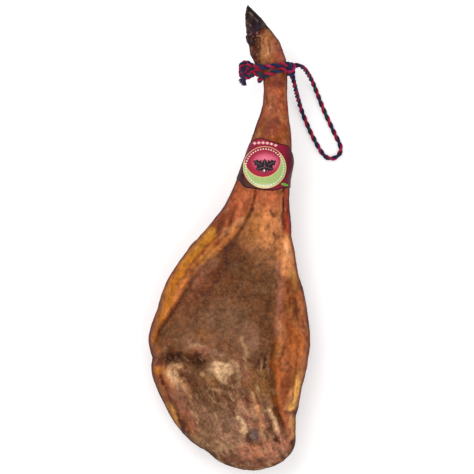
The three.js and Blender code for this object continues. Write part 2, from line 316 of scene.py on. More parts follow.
ROPE_COTTON = rope_material()
loop_line = smooth_route(LOOP_ROUTE, ROPE_STEP)
loop = twisted_rope("rope_loop_strands", [loop_line], ROPE_RADIUS, ROPE_PITCH, 3)
loop.data.materials.append(ROPE_COTTON)
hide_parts("rope_loop")

# Ham
# One hind leg with its skin, fat, meat and bone, salted and dried in the air. The rind has been
# cut from the upper face, so dry dark meat shows there, edged by amber fat and folded skin.
# The leg: y, left x, right x, top z and bottom z of its section at each station.
LEG_STATIONS = [
    (-392, 37, 37, 59, 59), (-386, 6, 66, 74, 50), (-376, -17, 90, 86, 37), (-360, -38, 106, 97, 24),
    (-344, -63, 112, 103, 15), (-323, -84, 112, 108, 8), (-303, -98, 112, 111, 3),
    (-283, -109, 117, 114, -1), (-259, -120, 121, 116, -4), (-236, -129, 127, 117, -5),
    (-215, -132, 132, 118, -6), (-202, -130, 134, 118, -6), (-188, -134, 136, 118, -6),
    (-168, -137, 137, 118, -5), (-144, -131, 135, 117, -4), (-114, -120, 131, 116, -1),
    (-84, -110, 124, 114, 4), (-53, -95, 115, 112, 10), (-23, -74, 110, 113, 17),
    (4, -50, 105, 113, 24), (31, -27, 103, 114, 31), (58, -7, 102, 116, 38), (89, 8, 102, 117, 45),
    (119, 20, 104, 115, 50), (149, 31, 105, 113, 55), (180, 41, 104, 110, 59), (207, 51, 100, 107, 62),
    (230, 57, 98, 105, 64), (268, 56, 97, 103, 66), (298, 41, 95, 104, 65), (327, 33, 86, 105, 64),
    (342, 33, 77, 105, 64), (353, 37, 68, 102, 66), (360, 44, 61, 97, 71), (364, 53, 53, 84, 84),
]
LEG_RINGS = 400
TOP_SIDES = 156
UNDERSIDE_SIDES = 84
WIDEST_LEVEL = 0.47
SHANK_ROUNDNESS = 2.15
MEAT_FLATNESS = 2.5
# Where along the leg the round shank turns into the flatter meat face.
FLATTER_SPAN = (150, -60)
RIND_ROUNDNESS = 2.0
# The line where skin ends and horn begins: its place at the right, and its slant.
CORONET_RIGHT = (60.0, 360.5)
CORONET_SLANT = 0.85

# Broad folds and ridges of the meat face: route in plan, half width and rise.
BROAD_RELIEF = [
    ([(-2, 42), (-38, -21), (-66, -51), (-84, -98), (-121, -174)], 8, -3.5),
    ([(-134, -200), (-78, -206), (-39, -222)], 11, -6),
    ([(-92, -198), (-80, -200)], 15, -5),
    ([(-43, -209), (-40, -212)], 14, -6),
    ([(-12, -8), (2, -28)], 24, -5),
    ([(43, 80), (35, 44), (16, 6)], 9, -2),
    ([(88, 76), (92, 16), (86, -40), (79, -112), (74, -180)], 9, -2),
    ([(73, -192), (73, -242), (75, -273), (83, -302), (97, -333)], 10, -6),
    ([(-78, -232), (-60, -250), (-50, -288)], 13, -4),
    ([(-118, -188), (-56, -190)], 11, 3),
    ([(84, -225), (84, -276), (97, -312)], 9, 3.5),
    ([(42, -318), (46, -340)], 16, 3),
    ([(20, -190), (-14, -220), (8, -246)], 14, 2.5),
]
# The left edge of the cut meat, where the rind begins, and the right edge, where skin folds over.
RIND_EDGE = [
    (14, 57), (6, 38), (2, 21), (-11, 1), (-30, -21), (-48, -38), (-60, -50), (-65, -65), (-71, -77),
    (-79, -94), (-90, -111), (-101, -129), (-110, -146), (-119, -161), (-122, -175),
]
SKIN_EDGE = [
    (92, 16), (87, -11), (86, -40), (82, -79), (79, -112), (75, -146), (74, -180), (72, -214),
    (73, -242), (75, -273), (83, -302), (97, -333),
]
# The crease down the middle of the meat, below the shank.
CENTRE_CREASE = [(45, 79), (41, 60), (36, 44), (27, 24), (16, 8), (8, -8)]
# Fine creases, lips, slits and lumps: route in plan, half width and rise.
FINE_RELIEF = [
    (RIND_EDGE, 3.2, -2.6),
    ([(x - 5, y + 4) for x, y in RIND_EDGE], 4, 1.6),
    ([(-5, 38), (-17, 7), (-52, -28), (-68, -52)], 2.2, -1.6),
    ([(-134, -200), (-100, -207), (-78, -205), (-56, -212), (-31, -229)], 4, -3),
    ([(-124, -188), (-75, -190), (-36, -196)], 5, 1.5),
    ([(-112, -214), (-91, -210), (-72, -222)], 4, 1.8),
    ([(-100, -197), (-90, -198)], 8, -3),
    ([(-53, -205), (-43, -210)], 8, -3.5),
    ([(-60, -184), (-50, -186)], 5, 1.4),
    (CENTRE_CREASE, 2.5, -2.4),
    ([(28, 74), (18, 40), (2, 8)], 5, 1.4),
    ([(88, 80), (90, 45), (92, 21)], 2.4, -2),
    ([(70, 43), (74, 38)], 2, -2),
    ([(76, 8), (79, 2)], 1.8, -1.4),
    (SKIN_EDGE[:7], 3, -1.3),
    ([(96, -6), (96, -40)], 9, 1.6),
    ([(103, -60), (112, -120), (116, -170)], 4, -1.2),
    (SKIN_EDGE[6:], 4, -3.5),
    ([(82, -225), (82, -262), (91, -292), (100, -315)], 5, 2),
    ([(54, -192), (50, -205), (45, -219)], 2, -3.4),
    ([(64, -188), (62, -202), (59, -219)], 2.2, -3.4),
    ([(57, -190), (54, -206), (50, -222)], 1.8, 1),
    ([(-28, -210), (-14, -220), (-2, -246)], 10, 1.2),
    ([(1, -236), (2, -238)], 9, -1.8),
    ([(1, -235), (2, -239)], 5, 4.5),
    ([(-9, -246), (11, -257), (32, -273)], 2, -1.8),
    ([(-34, -240), (-12, -243)], 2, -1.2),
    ([(15, -262), (30, -296), (38, -320)], 4, 1.8),
    ([(38, -259), (50, -290), (62, -323)], 4, 1.8),
    ([(28, -262), (41, -292), (50, -318)], 3, -1.5),
    ([(55, -266), (65, -296), (72, -320), (84, -340)], 3, -2.4),
    ([(70, -296), (75, -313)], 3.5, 1.6),
    ([(77, -335), (77, -336)], 3.5, -3.5),
    ([(41, -330), (42, -337)], 8, 2.6),
    ([(-78, -229), (-64, -243), (-52, -262), (-48, -290)], 4, -2.6),
    ([(-100, -235), (-82, -244)], 9, 1.6),
    ([(-61, -288), (-53, -303)], 1.6, 1.1),
    ([(113, -238), (113, -258), (107, -284)], 5, 2.4),
    ([(96, -289), (106, -290), (118, -294)], 2, -2.4),
    ([(108, -306), (110, -330)], 4, 1.2),
    ([(-118, -222), (-103, -262), (-84, -302), (-72, -326)], 2.4, -1.6),
]


def stations_at(stations, fraction):
    """A cubic through each pair of stations, with the ends mirrored so that they close round."""
    first, last = stations[1], stations[-2]
    rows = [(first[0], first[2], first[1], first[4], first[3]), *stations]
    rows = np.array([*rows, (last[0], last[2], last[1], last[4], last[3])], float)
    steps = np.diff(rows, axis=0)
    length = np.sqrt(steps[:, 0] ** 2 + (steps[:, 1:] ** 2).sum(axis=1) / 4)
    places = np.concatenate([[0], np.cumsum(length)])
    place = places[1] + fraction * (places[-2] - places[1])
    i = np.clip(np.searchsorted(places, place) - 1, 1, len(rows) - 3)
    span = places[i + 1] - places[i]
    u = ((place - places[i]) / span)[..., None]
    span = span[..., None]
    slope_here = (rows[i + 1] - rows[i - 1]) / (places[i + 1] - places[i - 1])[..., None]
    slope_next = (rows[i + 2] - rows[i]) / (places[i + 2] - places[i])[..., None]
    value = (2 * u**3 - 3 * u**2 + 1) * rows[i] + (u**3 - 2 * u**2 + u) * span * slope_here
    value += (3 * u**2 - 2 * u**3) * rows[i + 1] + (u**3 - u**2) * span * slope_next
    return np.moveaxis(value, -1, 0)


def route_distance(x, y, route):
    """The shortest distance in plan from each point to a route of straight lines."""
    nearest = np.full(np.shape(x), np.inf)
    for (ax, ay), (bx, by) in zip(route, route[1:]):
        dx, dy = bx - ax, by - ay
        along = np.clip(((x - ax) * dx + (y - ay) * dy) / (dx * dx + dy * dy), 0, 1)
        nearest = np.minimum(nearest, np.hypot(x - ax - along * dx, y - ay - along * dy))
    return nearest


def relief(x, y, table):
    """The sum of soft ridges and grooves: each is a bell curve of the distance to its route."""
    total = 0
    for route, reach, rise in table:
        total = total + rise * np.exp(-((route_distance(x, y, route) / reach) ** 2))
    return total


def roundness_at(y):
    """The squareness of the upper half of the section: a round shank, a flatter meat face."""
    return SHANK_ROUNDNESS + (MEAT_FLATNESS - SHANK_ROUNDNESS) * smooth_step(*FLATTER_SPAN, y)


def leg_skin(fraction, angle):
    """Rounded squares through the stations, by the angle round the leg from its right side:
    x and z are signed powers of its cosine and sine, and the lowest part is pressed flat."""
    y, left, right, top, bottom = stations_at(LEG_STATIONS, fraction)
    level = bottom + (top - bottom) * WIDEST_LEVEL
    up, across = np.sin(angle), np.cos(angle)
    roundness = np.where(up > 0, roundness_at(y), RIND_ROUNDNESS)
    height = np.where(up > 0, top - level, level - bottom)
    x = (left + right) / 2 + (right - left) / 2 * np.sign(across) * np.abs(across) ** (2 / roundness)
    z = level + height * np.sign(up) * np.abs(up) ** (2 / roundness)
    z = z + smooth_step(0.05, 0.55, up) * smooth_step(80, 50, y) * relief(x, y, BROAD_RELIEF)
    return np.stack([x, y, np.maximum(z, 0)], axis=-1)


def grid_normals(grid):
    """The outward direction at each point of a grid, from the slopes along and round it."""
    along = np.gradient(grid, axis=0)
    around = (np.roll(grid, -1, axis=1) - np.roll(grid, 1, axis=1)) / 2
    normal = np.cross(around, along)
    return normal / np.maximum(np.linalg.norm(normal, axis=-1, keepdims=True), 1e-9)


# Where the cut bone shows, in plan.
BONE_END = (41.0, -329.5)

# The palette of the ham, as display colours.
UMBER = (92, 54, 32)
SHADE = (80, 43, 25)
LEAN = (121, 75, 48)
LEAN_RED = (138, 78, 48)
OLIVE = (122, 88, 60)
GREY_BROWN = (146, 108, 82)
AMBER = (206, 128, 28)
GOLD = (210, 148, 72)
PEACH = (218, 146, 96)
CREAM = (212, 166, 122)
BRICK = (152, 78, 52)
RED = (176, 92, 66)
ORANGE = (180, 100, 56)
PINK = (178, 118, 94)
CORAL = (218, 118, 80)
OXBLOOD = (182, 66, 28)
OLIVE_GOLD = (170, 116, 62)
BRIGHT_ORANGE = (210, 116, 62)
FASCIA = (255, 206, 156)
YELLOW_FAT = (255, 186, 98)
MAUVE = (170, 116, 92)
SALMON = (226, 148, 118)
ROSY = (186, 96, 84)
FADED = (164, 112, 76)
WARM_FAT = (248, 160, 100)
PALE_MEAT = (168, 124, 98)
BONE_LIGHT = (116, 100, 98)
DEEP_AMBER = (206, 122, 14)
RIM_BROWN = (172, 102, 26)
# The pale fat lip along the rind's cut edge, also painted lighter as a highlight.
LIP = (218, 130, 72)
BRUISE = (134, 66, 60)
# A painted highlight: glints of light on the oily skin.
PAINTED_GLINT = (250, 206, 176)
HOOF_STAIN = (76, 46, 40)
DARK = (64, 38, 26)
MAROON = (112, 56, 42)
BONE = (86, 70, 67)
RIND_BROWN = (150, 84, 42)
PALE_SPECK = (176, 132, 104)
DARK_SPECK = (66, 38, 24)
# The oily surface adds a little white light to every colour, and the studio light is a little
# stronger than plain white, so the colours under it are deeper.
OIL_SHEEN = 0.013
DEEPEN = 0.73
# The share of red, green and blue that steep flanks lose, as painted shade where the table shades them.
EDGE_DARKENING = np.array([0.62, 0.72, 0.86])
# Where one surface gives way to the next, along the leg or across it: the cut face, the fibrous
# low part, the stretch under the band, the foot's dry sole and the dark rind of the underside.
BARE_SPAN = (90, 72)
LOW_SPAN = (-175, -220)
BAND_SPANS = (66, 78), (178, 166)
SOLE_ACROSS = (57, 51)
SOLE_ALONG = (286, 298)
RIND_SPAN = (260, 160)
# How much the rind's edge at the rump leans inwards.
RUMP_LEAN = 0.42
# The way the fibres run: the turn of the smears' pattern, and the axes and stretch of the relief.
FIBRE_TURN = 0.43
FIBRE_AXES = [(0.91, 0.42, 0), (-0.42, 0.91, 0), (0, 0, 1)]
FIBRE_STRETCH = (1, 6, 1)
# Strokes over this half width fade out softly, and narrower ones have an edge.
WIDE_STROKE = 12
SOFT_FADE = 3.5
EDGE_FADE = 6
# Smears along the fibres: noise scale, colour, the noise that they start at and their cover.
SMEARS = [
    (70, UMBER, 0.53, 0.38), (80, CREAM, 0.55, 0.42), (120, MAROON, 0.57, 0.38),
    (190, DARK, 0.58, 0.55), (250, CREAM, 0.6, 0.3),
]
# The skin's colour along the leg: y and colour.
SKIN_COLOURS = [
    (-392, (150, 84, 54)), (-330, (172, 100, 68)), (-240, ORANGE), (-120, (158, 88, 50)),
    (-40, ORANGE), (30, (178, 90, 58)), (75, (180, 90, 56)), (170, (156, 82, 50)),
    (205, (168, 82, 58)), (250, (170, 90, 64)), (300, (164, 92, 60)), (330, (186, 114, 76)),
    (350, (168, 102, 68)), (362, (120, 74, 54)),
]
# Soft strokes of colour on the upper face, laid in this order: colour, cover, half width, route.
# Some are painted shade in creases, slits and hollows, and some are painted highlights; these
# are marked.
STROKES = [
    (SHADE, 0.9, 26, [(-2, -16), (6, -36)]),
    (UMBER, 0.5, 20, [(18, -62), (46, -84)]),
    (FADED, 0.65, 17, [(46, -12), (58, -32)]),
    (UMBER, 0.5, 22, [(-60, -90), (-36, -100)]),
    (OLIVE, 0.4, 26, [(40, -60), (60, -120)]),
    (GREY_BROWN, 0.5, 26, [(-20, -130), (-50, -150)]),
    (GREY_BROWN, 0.55, 24, [(10, -150), (30, -172)]),
    (PALE_MEAT, 0.4, 12, [(34, -156), (44, -172)]),
    (UMBER, 0.6, 9, [(56, -140), (58, -160)]),
    (AMBER, 0.3, 9, [(-46, -158), (-40, -162)]),
    (PINK, 0.35, 9, [(-30, -40), (-48, -58), (-58, -76)]),
    (BRICK, 0.4, 20, [(-70, -92), (-50, -84)]),
    (LEAN, 0.4, 22, [(-86, -140), (-76, -156)]),
    (GREY_BROWN, 0.4, 14, [(-76, -172), (-56, -178)]),
    (MAUVE, 0.3, 12, [(-36, -160), (-26, -170)]),
    (PINK, 0.85, 6.5, [(88, -40), (87, -120), (82, -160)]),
    (SALMON, 0.25, 4, [(87, -96), (85, -150)]),
    (UMBER, 0.55, 6.5, [(66, -88), (69, -130), (67, -164)]),
    (PINK, 0.55, 8, [(-62, -178), (-38, -190)]),
    (PALE_MEAT, 0.7, 6, [(-25, -188), (-11, -193)]),
    (WARM_FAT, 0.9, 22, [(62, 34), (70, 4)]),
    (CORAL, 0.95, 17, [(66, 86), (66, 60)]),
    (OLIVE_GOLD, 0.55, 12, [(42, 32), (40, 20), (34, 6)]),
    (OXBLOOD, 0.9, 7, [(98, 84), (98, 14)]),
    (CORAL, 0.6, 11, [(22, 72), (10, 48)]),
    (BRICK, 0.6, 8, [(4, 60), (-16, 34), (-30, 10)]),
    (AMBER, 1.0, 12, [(-34, 9), (-66, -26), (-92, -62), (-109, -101), (-118, -130)]),
    (GOLD, 0.5, 5, [(-31, 12), (-58, -14)]),
    (DEEP_AMBER, 0.8, 8, [(-84, -52), (-104, -88), (-118, -122), (-124, -142)]),
    (RIM_BROWN, 0.8, 9, [(-117, -112), (-124, -144), (-131, -176)]),
    # Painted shade: darker along the crease inside the rind.
    (BRICK, 0.75, 2.6, [(-8, 26), (-17, 7), (-52, -28), (-68, -52)]),
    # The pale fat lip at the rind's edge, painted lighter as a highlight.
    (LIP, 0.9, 5, [(-14, -3), (-30, -18), (-49, -41), (-62, -58)]),
    (GOLD, 0.6, 4, [(-30, -18), (-48, -36)]),
    # The pale fat lip at the rind's edge, painted lighter as a highlight.
    (LIP, 0.8, 3.6, [(-76, -72), (-88, -92), (-97, -114), (-104, -128)]),
    (LIP, 0.8, 5, [(10, 14), (-4, -2), (-28, -26)]),
    (LIP, 0.65, 5, [(-58, -50), (-68, -68), (-80, -88), (-95, -114), (-104, -134)]),
    # Painted shade: a dark shadow line beside the rind's cut lip, and in the crease above it.
    (MAROON, 0.7, 2.8, [(-52, -62), (-66, -84), (-84, -112), (-99, -134), (-116, -160)]),
    (MAROON, 0.5, 5, [(-8, 28), (-22, 10)]),
    (BRICK, 0.7, 2.6, [(14, 90), (-3, 54), (-21, 21)]),
    # Painted shade along the centre crease.
    (UMBER, 0.6, 2.4, CENTRE_CREASE),
    (PEACH, 0.8, 4, [(-16, 3), (4, 17), (24, 34)]),
    (MAROON, 0.5, 4, [(82, 82), (81, 66)]),
    # Painted shade along the groove at the right.
    (SHADE, 0.95, 2.2, [(90, 84), (89, 40), (93, 15)]),
    (MAROON, 0.5, 2, [(98, 84), (98, 40)]),
    # Painted shade in two short slits.
    (DARK, 0.95, 2.6, [(69, 44), (75, 36)]),
    (MAROON, 0.8, 1.8, [(76, 10), (80, 2)]),
    (WARM_FAT, 0.9, 10, [(94, -4), (97, -34), (100, -54)]),
    (FASCIA, 0.35, 4, [(96, -10), (98, -30)]),
    (GOLD, 0.6, 6, [(106, -56), (110, -68)]),
    (MAROON, 0.6, 1.8, [(86, 6), (74, -8)]),
    (MAROON, 0.4, 7, [(107, -86), (108, -102)]),
    (MAROON, 0.6, 7, [(110, -112), (114, -134)]),
    (BRIGHT_ORANGE, 0.8, 6, [(122, -92), (129, -130)]),
    (RED, 0.5, 5, [(92, -66), (94, -100), (90, -128)]),
    (BRICK, 0.6, 10, [(98, -136), (98, -164)]),
    (PEACH, 0.4, 6, [(86, -140), (92, -168)]),
    (BRIGHT_ORANGE, 0.9, 15, [(114, -168), (116, -200)]),
    (BRICK, 0.4, 6, [(92, -184), (90, -202)]),
    (BRIGHT_ORANGE, 0.9, 10, [(98, -206), (92, -226)]),
    (PINK, 0.45, 6, [(97, -206), (95, -222)]),
    (MAROON, 0.5, 8, [(100, -230), (102, -242)]),
    (BRICK, 0.8, 8, [(90, -242), (90, -262)]),
    (BRIGHT_ORANGE, 0.6, 6, [(80, -204), (80, -244)]),
    (BRICK, 0.5, 9, [(94, -262), (92, -290)]),
    (MAROON, 0.6, 1.8, [(118, -148), (126, -160), (133, -170)]),
    (PEACH, 0.55, 2.6, [(86, -178), (81, -204)]),
    (MAROON, 0.5, 1.8, [(94, -166), (89, -196), (85, -222)]),
    (MAROON, 0.3, 1.8, [(106, -196), (101, -214)]),
    (PEACH, 0.4, 2, [(112, -200), (106, -222)]),
    (YELLOW_FAT, 0.3, 3.5, [(121, -226), (118, -240)]),
    (YELLOW_FAT, 1.0, 6, [(116, -246), (113, -262), (106, -282)]),
    (PEACH, 0.75, 4, [(103, -256), (99, -274), (96, -284)]),
    # Painted shade in the crease across the yellow fat.
    (MAROON, 0.9, 3, [(96, -289), (106, -290), (118, -293)]),
    (YELLOW_FAT, 0.8, 5.5, [(108, -304), (108, -330)]),
    (RED, 0.6, 6, [(98, -300), (102, -320)]),
    (AMBER, 0.3, 8, [(-124, -192), (-128, -186)]),
    (UMBER, 0.5, 6, [(-126, -180), (-130, -190)]),
    (MAROON, 0.9, 8, [(-134, -204), (-112, -208)]),
    (AMBER, 0.9, 8, [(-122, -224), (-112, -228)]),
    (BRICK, 0.75, 9, [(-114, -240), (-100, -266)]),
    (GREY_BROWN, 0.75, 30, [(-46, -300), (-10, -320), (10, -340)]),
    (OLIVE, 0.5, 20, [(-36, -270), (-20, -286)]),
    (PEACH, 1.0, 12, [(-98, -226), (-84, -246)]),
    (FASCIA, 0.85, 8, [(-95, -230), (-85, -243)]),
    # Pale cream fat on the fold's lower lip, painted paler as a highlight.
    (CREAM, 0.6, 6, [(-92, -212), (-82, -214)]),
    (MAUVE, 0.95, 14, [(-86, -260), (-74, -284)]),
    (PINK, 0.5, 8, [(-66, -300), (-54, -322)]),
    (RED, 0.6, 7, [(-68, -296), (-62, -310)]),
    (OLIVE, 0.8, 9, [(-54, -222), (-46, -236), (-42, -256)]),
    (GOLD, 0.4, 7, [(-40, -226), (-28, -238)]),
    (FASCIA, 0.95, 8, [(-24, -216), (-3, -218)]),
    (CREAM, 0.7, 6, [(-40, -224), (-30, -230)]),
    (FASCIA, 0.8, 6, [(-18, -224), (-8, -240)]),
    (CREAM, 0.6, 5, [(2, -208), (14, -214)]),
    # Painted shade in the hollows under the fold's lip.
    (UMBER, 0.95, 10, [(-104, -196), (-88, -198)]),
    (UMBER, 0.7, 5, [(-84, -199), (-60, -203)]),
    (MAROON, 0.6, 9, [(-52, -203), (-44, -211)]),
    (UMBER, 0.8, 8, [(-56, -203), (-44, -211)]),
    (DARK, 0.25, 5, [(-56, -200), (-46, -208)]),
    # Pale cream fat on the fold's upper lip, painted paler as a highlight.
    (CREAM, 0.6, 3, [(-64, -184), (-52, -180), (-44, -184)]),
    # Painted shade along the groove below the fold.
    (UMBER, 0.8, 7, [(-67, -235), (-58, -246), (-55, -256)]),
    (MAROON, 0.5, 4, [(-78, -230), (-64, -243), (-56, -258)]),
    (PEACH, 0.6, 3.5, [(-86, -240), (-72, -254), (-62, -274)]),
    (CREAM, 0.6, 2.4, [(20, -164), (26, -180), (34, -198)]),
    (PINK, 0.5, 10, [(20, -214), (30, -232)]),
    (MAROON, 0.9, 5.5, [(0, -236), (2, -241)]),
    (CREAM, 0.55, 4, [(12, -225), (13, -238)]),
    (CREAM, 0.6, 2, [(14, -216), (18, -226), (14, -240)]),
    (OLIVE_GOLD, 0.85, 13, [(48, -232), (56, -252)]),
    (UMBER, 0.4, 8, [(36, -216), (48, -206)]),
    (UMBER, 0.6, 6, [(60, -196), (56, -210)]),
    # Painted shade in two slits.
    (DARK, 0.9, 2, [(63, -190), (65, -200), (60, -213)]),
    (DARK, 0.8, 1.8, [(54, -206), (50, -214), (48, -224)]),
    (CREAM, 0.5, 1.6, [(56, -196), (57, -208), (52, -220)]),
    # Painted shade along a crease.
    (UMBER, 0.8, 4, [(-9, -246), (11, -257), (30, -271)]),
    (MAUVE, 0.7, 7, [(-51, -274), (-47, -290)]),
    (CREAM, 0.5, 2.2, [(-26, -252), (-6, -259), (14, -268)]),
    (CREAM, 0.45, 5, [(14, -246), (16, -258)]),
    (UMBER, 0.75, 2.6, [(-28, -259), (-8, -266), (14, -276)]),
    (CREAM, 0.45, 2.2, [(-24, -272), (-8, -280), (2, -290)]),
    (UMBER, 0.55, 3, [(-40, -270), (-24, -284), (-14, -300)]),
    (PALE_MEAT, 0.95, 22, [(-6, -310), (2, -332)]),
    (PINK, 0.8, 14, [(24, -276), (42, -306)]),
    (CREAM, 0.5, 5, [(38, -280), (42, -298)]),
    (MAROON, 0.5, 2.4, [(14, -250), (26, -262), (34, -282)]),
    (CREAM, 0.7, 4, [(12, -292), (18, -306)]),
    (UMBER, 0.5, 4, [(2, -276), (10, -296)]),
    (PEACH, 0.5, 3.5, [(34, -264), (46, -290), (56, -316)]),
    (FASCIA, 1.0, 4, [(16, -297), (19, -305), (24, -320)]),
    (FASCIA, 0.9, 5, [(24, -318), (28, -325)]),
    (FASCIA, 0.9, 4, [(69, -290), (74, -308), (80, -324)]),
    (OLIVE, 0.6, 6, [(88, -318), (92, -336)]),
    (SALMON, 1.0, 20, [(36, -360), (64, -354), (86, -346)]),
    (UMBER, 0.35, 8, [(10, -350), (22, -354)]),
    (ORANGE, 0.5, 12, [(46, -344), (52, -360)]),
    (MAROON, 0.6, 6, [(8, -366), (40, -378), (70, -370)]),
    (BONE, 1.0, 10.5, [(40, -327), (42, -332)]),
    (BONE_LIGHT, 0.6, 5, [(43, -328), (44, -332)]),
    # Painted shadow at the left of the bone's end, and painted shade in a pit.
    (DARK, 0.55, 3, [(33, -322), (32, -332), (35, -338)]),
    (DARK, 0.9, 3, [(77, -334), (79, -338)]),
    (ORANGE, 0.6, 5, [(73, -256), (75, -274)]),
    (FADED, 0.75, 6, [(72, -232), (74, -254)]),
    # Painted shade in the deep fold at the right.
    (UMBER, 0.8, 4, [(79, -284), (86, -306)]),
    (PINK, 0.7, 4, [(61, -298), (66, -312)]),
    # Painted shade along a groove.
    (UMBER, 0.85, 4, [(67, -320), (73, -329), (84, -342)]),
    (DARK, 0.9, 7, [(106, -344), (108, -352)]),
    (UMBER, 0.75, 5.5, [(-60, -340), (-30, -362), (-4, -378)]),
    (UMBER, 0.9, 7, [(-82, -308), (-70, -326), (-60, -340)]),
    (UMBER, 0.8, 6, [(108, -346), (103, -358), (94, -370)]),
    (PEACH, 0.6, 5, [(-104, -280), (-84, -316)]),
    (CREAM, 0.3, 14, [(-52, -336), (-30, -350)]),
    (GOLD, 0.8, 4.5, [(-103, -280), (-92, -302), (-82, -316)]),
    # Painted shade along the groove at the lower left.
    (MAROON, 0.7, 3, [(-114, -234), (-100, -268), (-82, -304), (-72, -324)]),
    (CORAL, 0.6, 9, [(88, 232), (84, 246)]),
    (PEACH, 0.3, 8, [(68, 236), (70, 214), (80, 200)]),
    (RED, 0.6, 9, [(84, 228), (86, 214)]),
    (BRUISE, 0.75, 9, [(76, 192), (66, 184), (60, 192)]),
    (BRUISE, 0.6, 7, [(86, 264), (78, 268), (72, 262)]),
    # Painted highlights: small glints on the shank.
    (PAINTED_GLINT, 0.35, 1.3, [(68, 222), (67, 218)]),
    (PAINTED_GLINT, 0.3, 1.2, [(79, 214), (80, 211)]),
    (UMBER, 0.25, 7, [(58, 246), (56, 218), (44, 184)]),
    (OLIVE_GOLD, 0.3, 6, [(62, 200), (52, 178)]),
    (BRICK, 0.5, 7, [(101, 200), (102, 176)]),
    (BRICK, 0.5, 5, [(94, 250), (96, 232)]),
    (OXBLOOD, 0.5, 5, [(97, 232), (98, 210)]),
    (ORANGE, 0.5, 8, [(82, 180), (92, 174)]),
    (ROSY, 0.65, 8, [(81, 326), (86, 306)]),
    (MAUVE, 0.6, 5, [(72, 326), (76, 318)]),
    (PEACH, 0.7, 6, [(64, 342), (60, 322), (62, 308)]),
    (OLIVE_GOLD, 0.5, 5, [(56, 306), (58, 296)]),
    # Painted highlight: a glint on the foot.
    (PAINTED_GLINT, 0.4, 1.6, [(66, 316), (68, 310)]),
    (UMBER, 0.7, 2, [(67, 330), (69, 322)]),
    (UMBER, 0.6, 2, [(60, 338), (58, 326)]),
    (UMBER, 0.5, 5, [(74, 348), (80, 338), (90, 314)]),
]


def blotch(tint, colour, share):
    """Moves the colours towards another by a share at each point."""
    return tint + np.clip(share, 0, 1)[..., None] * (linear(colour) - tint)


def lay_all(tint, patches):
    """Lays patches one after another, each a colour and its share at each point."""
    for colour, share in patches:
        tint = blotch(tint, colour, share)
    return tint


def paint(tint, x, y, strokes, breaks):
    """Lays strokes over the colours: the cover is one over one plus a power of the distance in
    half widths, broken up by a noise."""
    for colour, cover, reach, route in strokes:
        fade = SOFT_FADE if reach > WIDE_STROKE else EDGE_FADE
        distance = route_distance(x, y, route) / reach
        tint = blotch(tint, colour, cover * np.clip(0.95 + 0.5 * breaks, 0, 1) / (1 + distance**fade))
    return tint


def coronet(x):
    """How far along the leg its skin reaches, by the place across it."""
    return CORONET_RIGHT[1] - CORONET_SLANT * np.maximum(CORONET_RIGHT[0] - x, -4)


def leg_grid():
    """The fine grid of the leg: even directions round each section, as angles of leg_skin."""
    fraction = np.linspace(0, 1, LEG_RINGS + 1)[1:-1, None]
    turn = np.concatenate([
        np.linspace(np.pi, 0, TOP_SIDES, endpoint=False),
        np.linspace(0, -np.pi, UNDERSIDE_SIDES, endpoint=False),
    ])[None]
    y = stations_at(LEG_STATIONS, fraction)[0]
    roundness = np.where(turn > 0, roundness_at(y), RIND_ROUNDNESS)
    across, up = np.cos(turn), np.sin(turn)
    reach = (np.abs(across) ** roundness + np.abs(up) ** roundness) ** (-1 / roundness)
    sine = np.sign(up) * np.abs(reach * up) ** (roundness / 2)
    cosine = np.sign(across) * np.abs(reach * across) ** (roundness / 2)
    angle = np.arctan2(sine, cosine)
    return leg_skin(fraction + 0 * angle, angle), np.sin(angle)


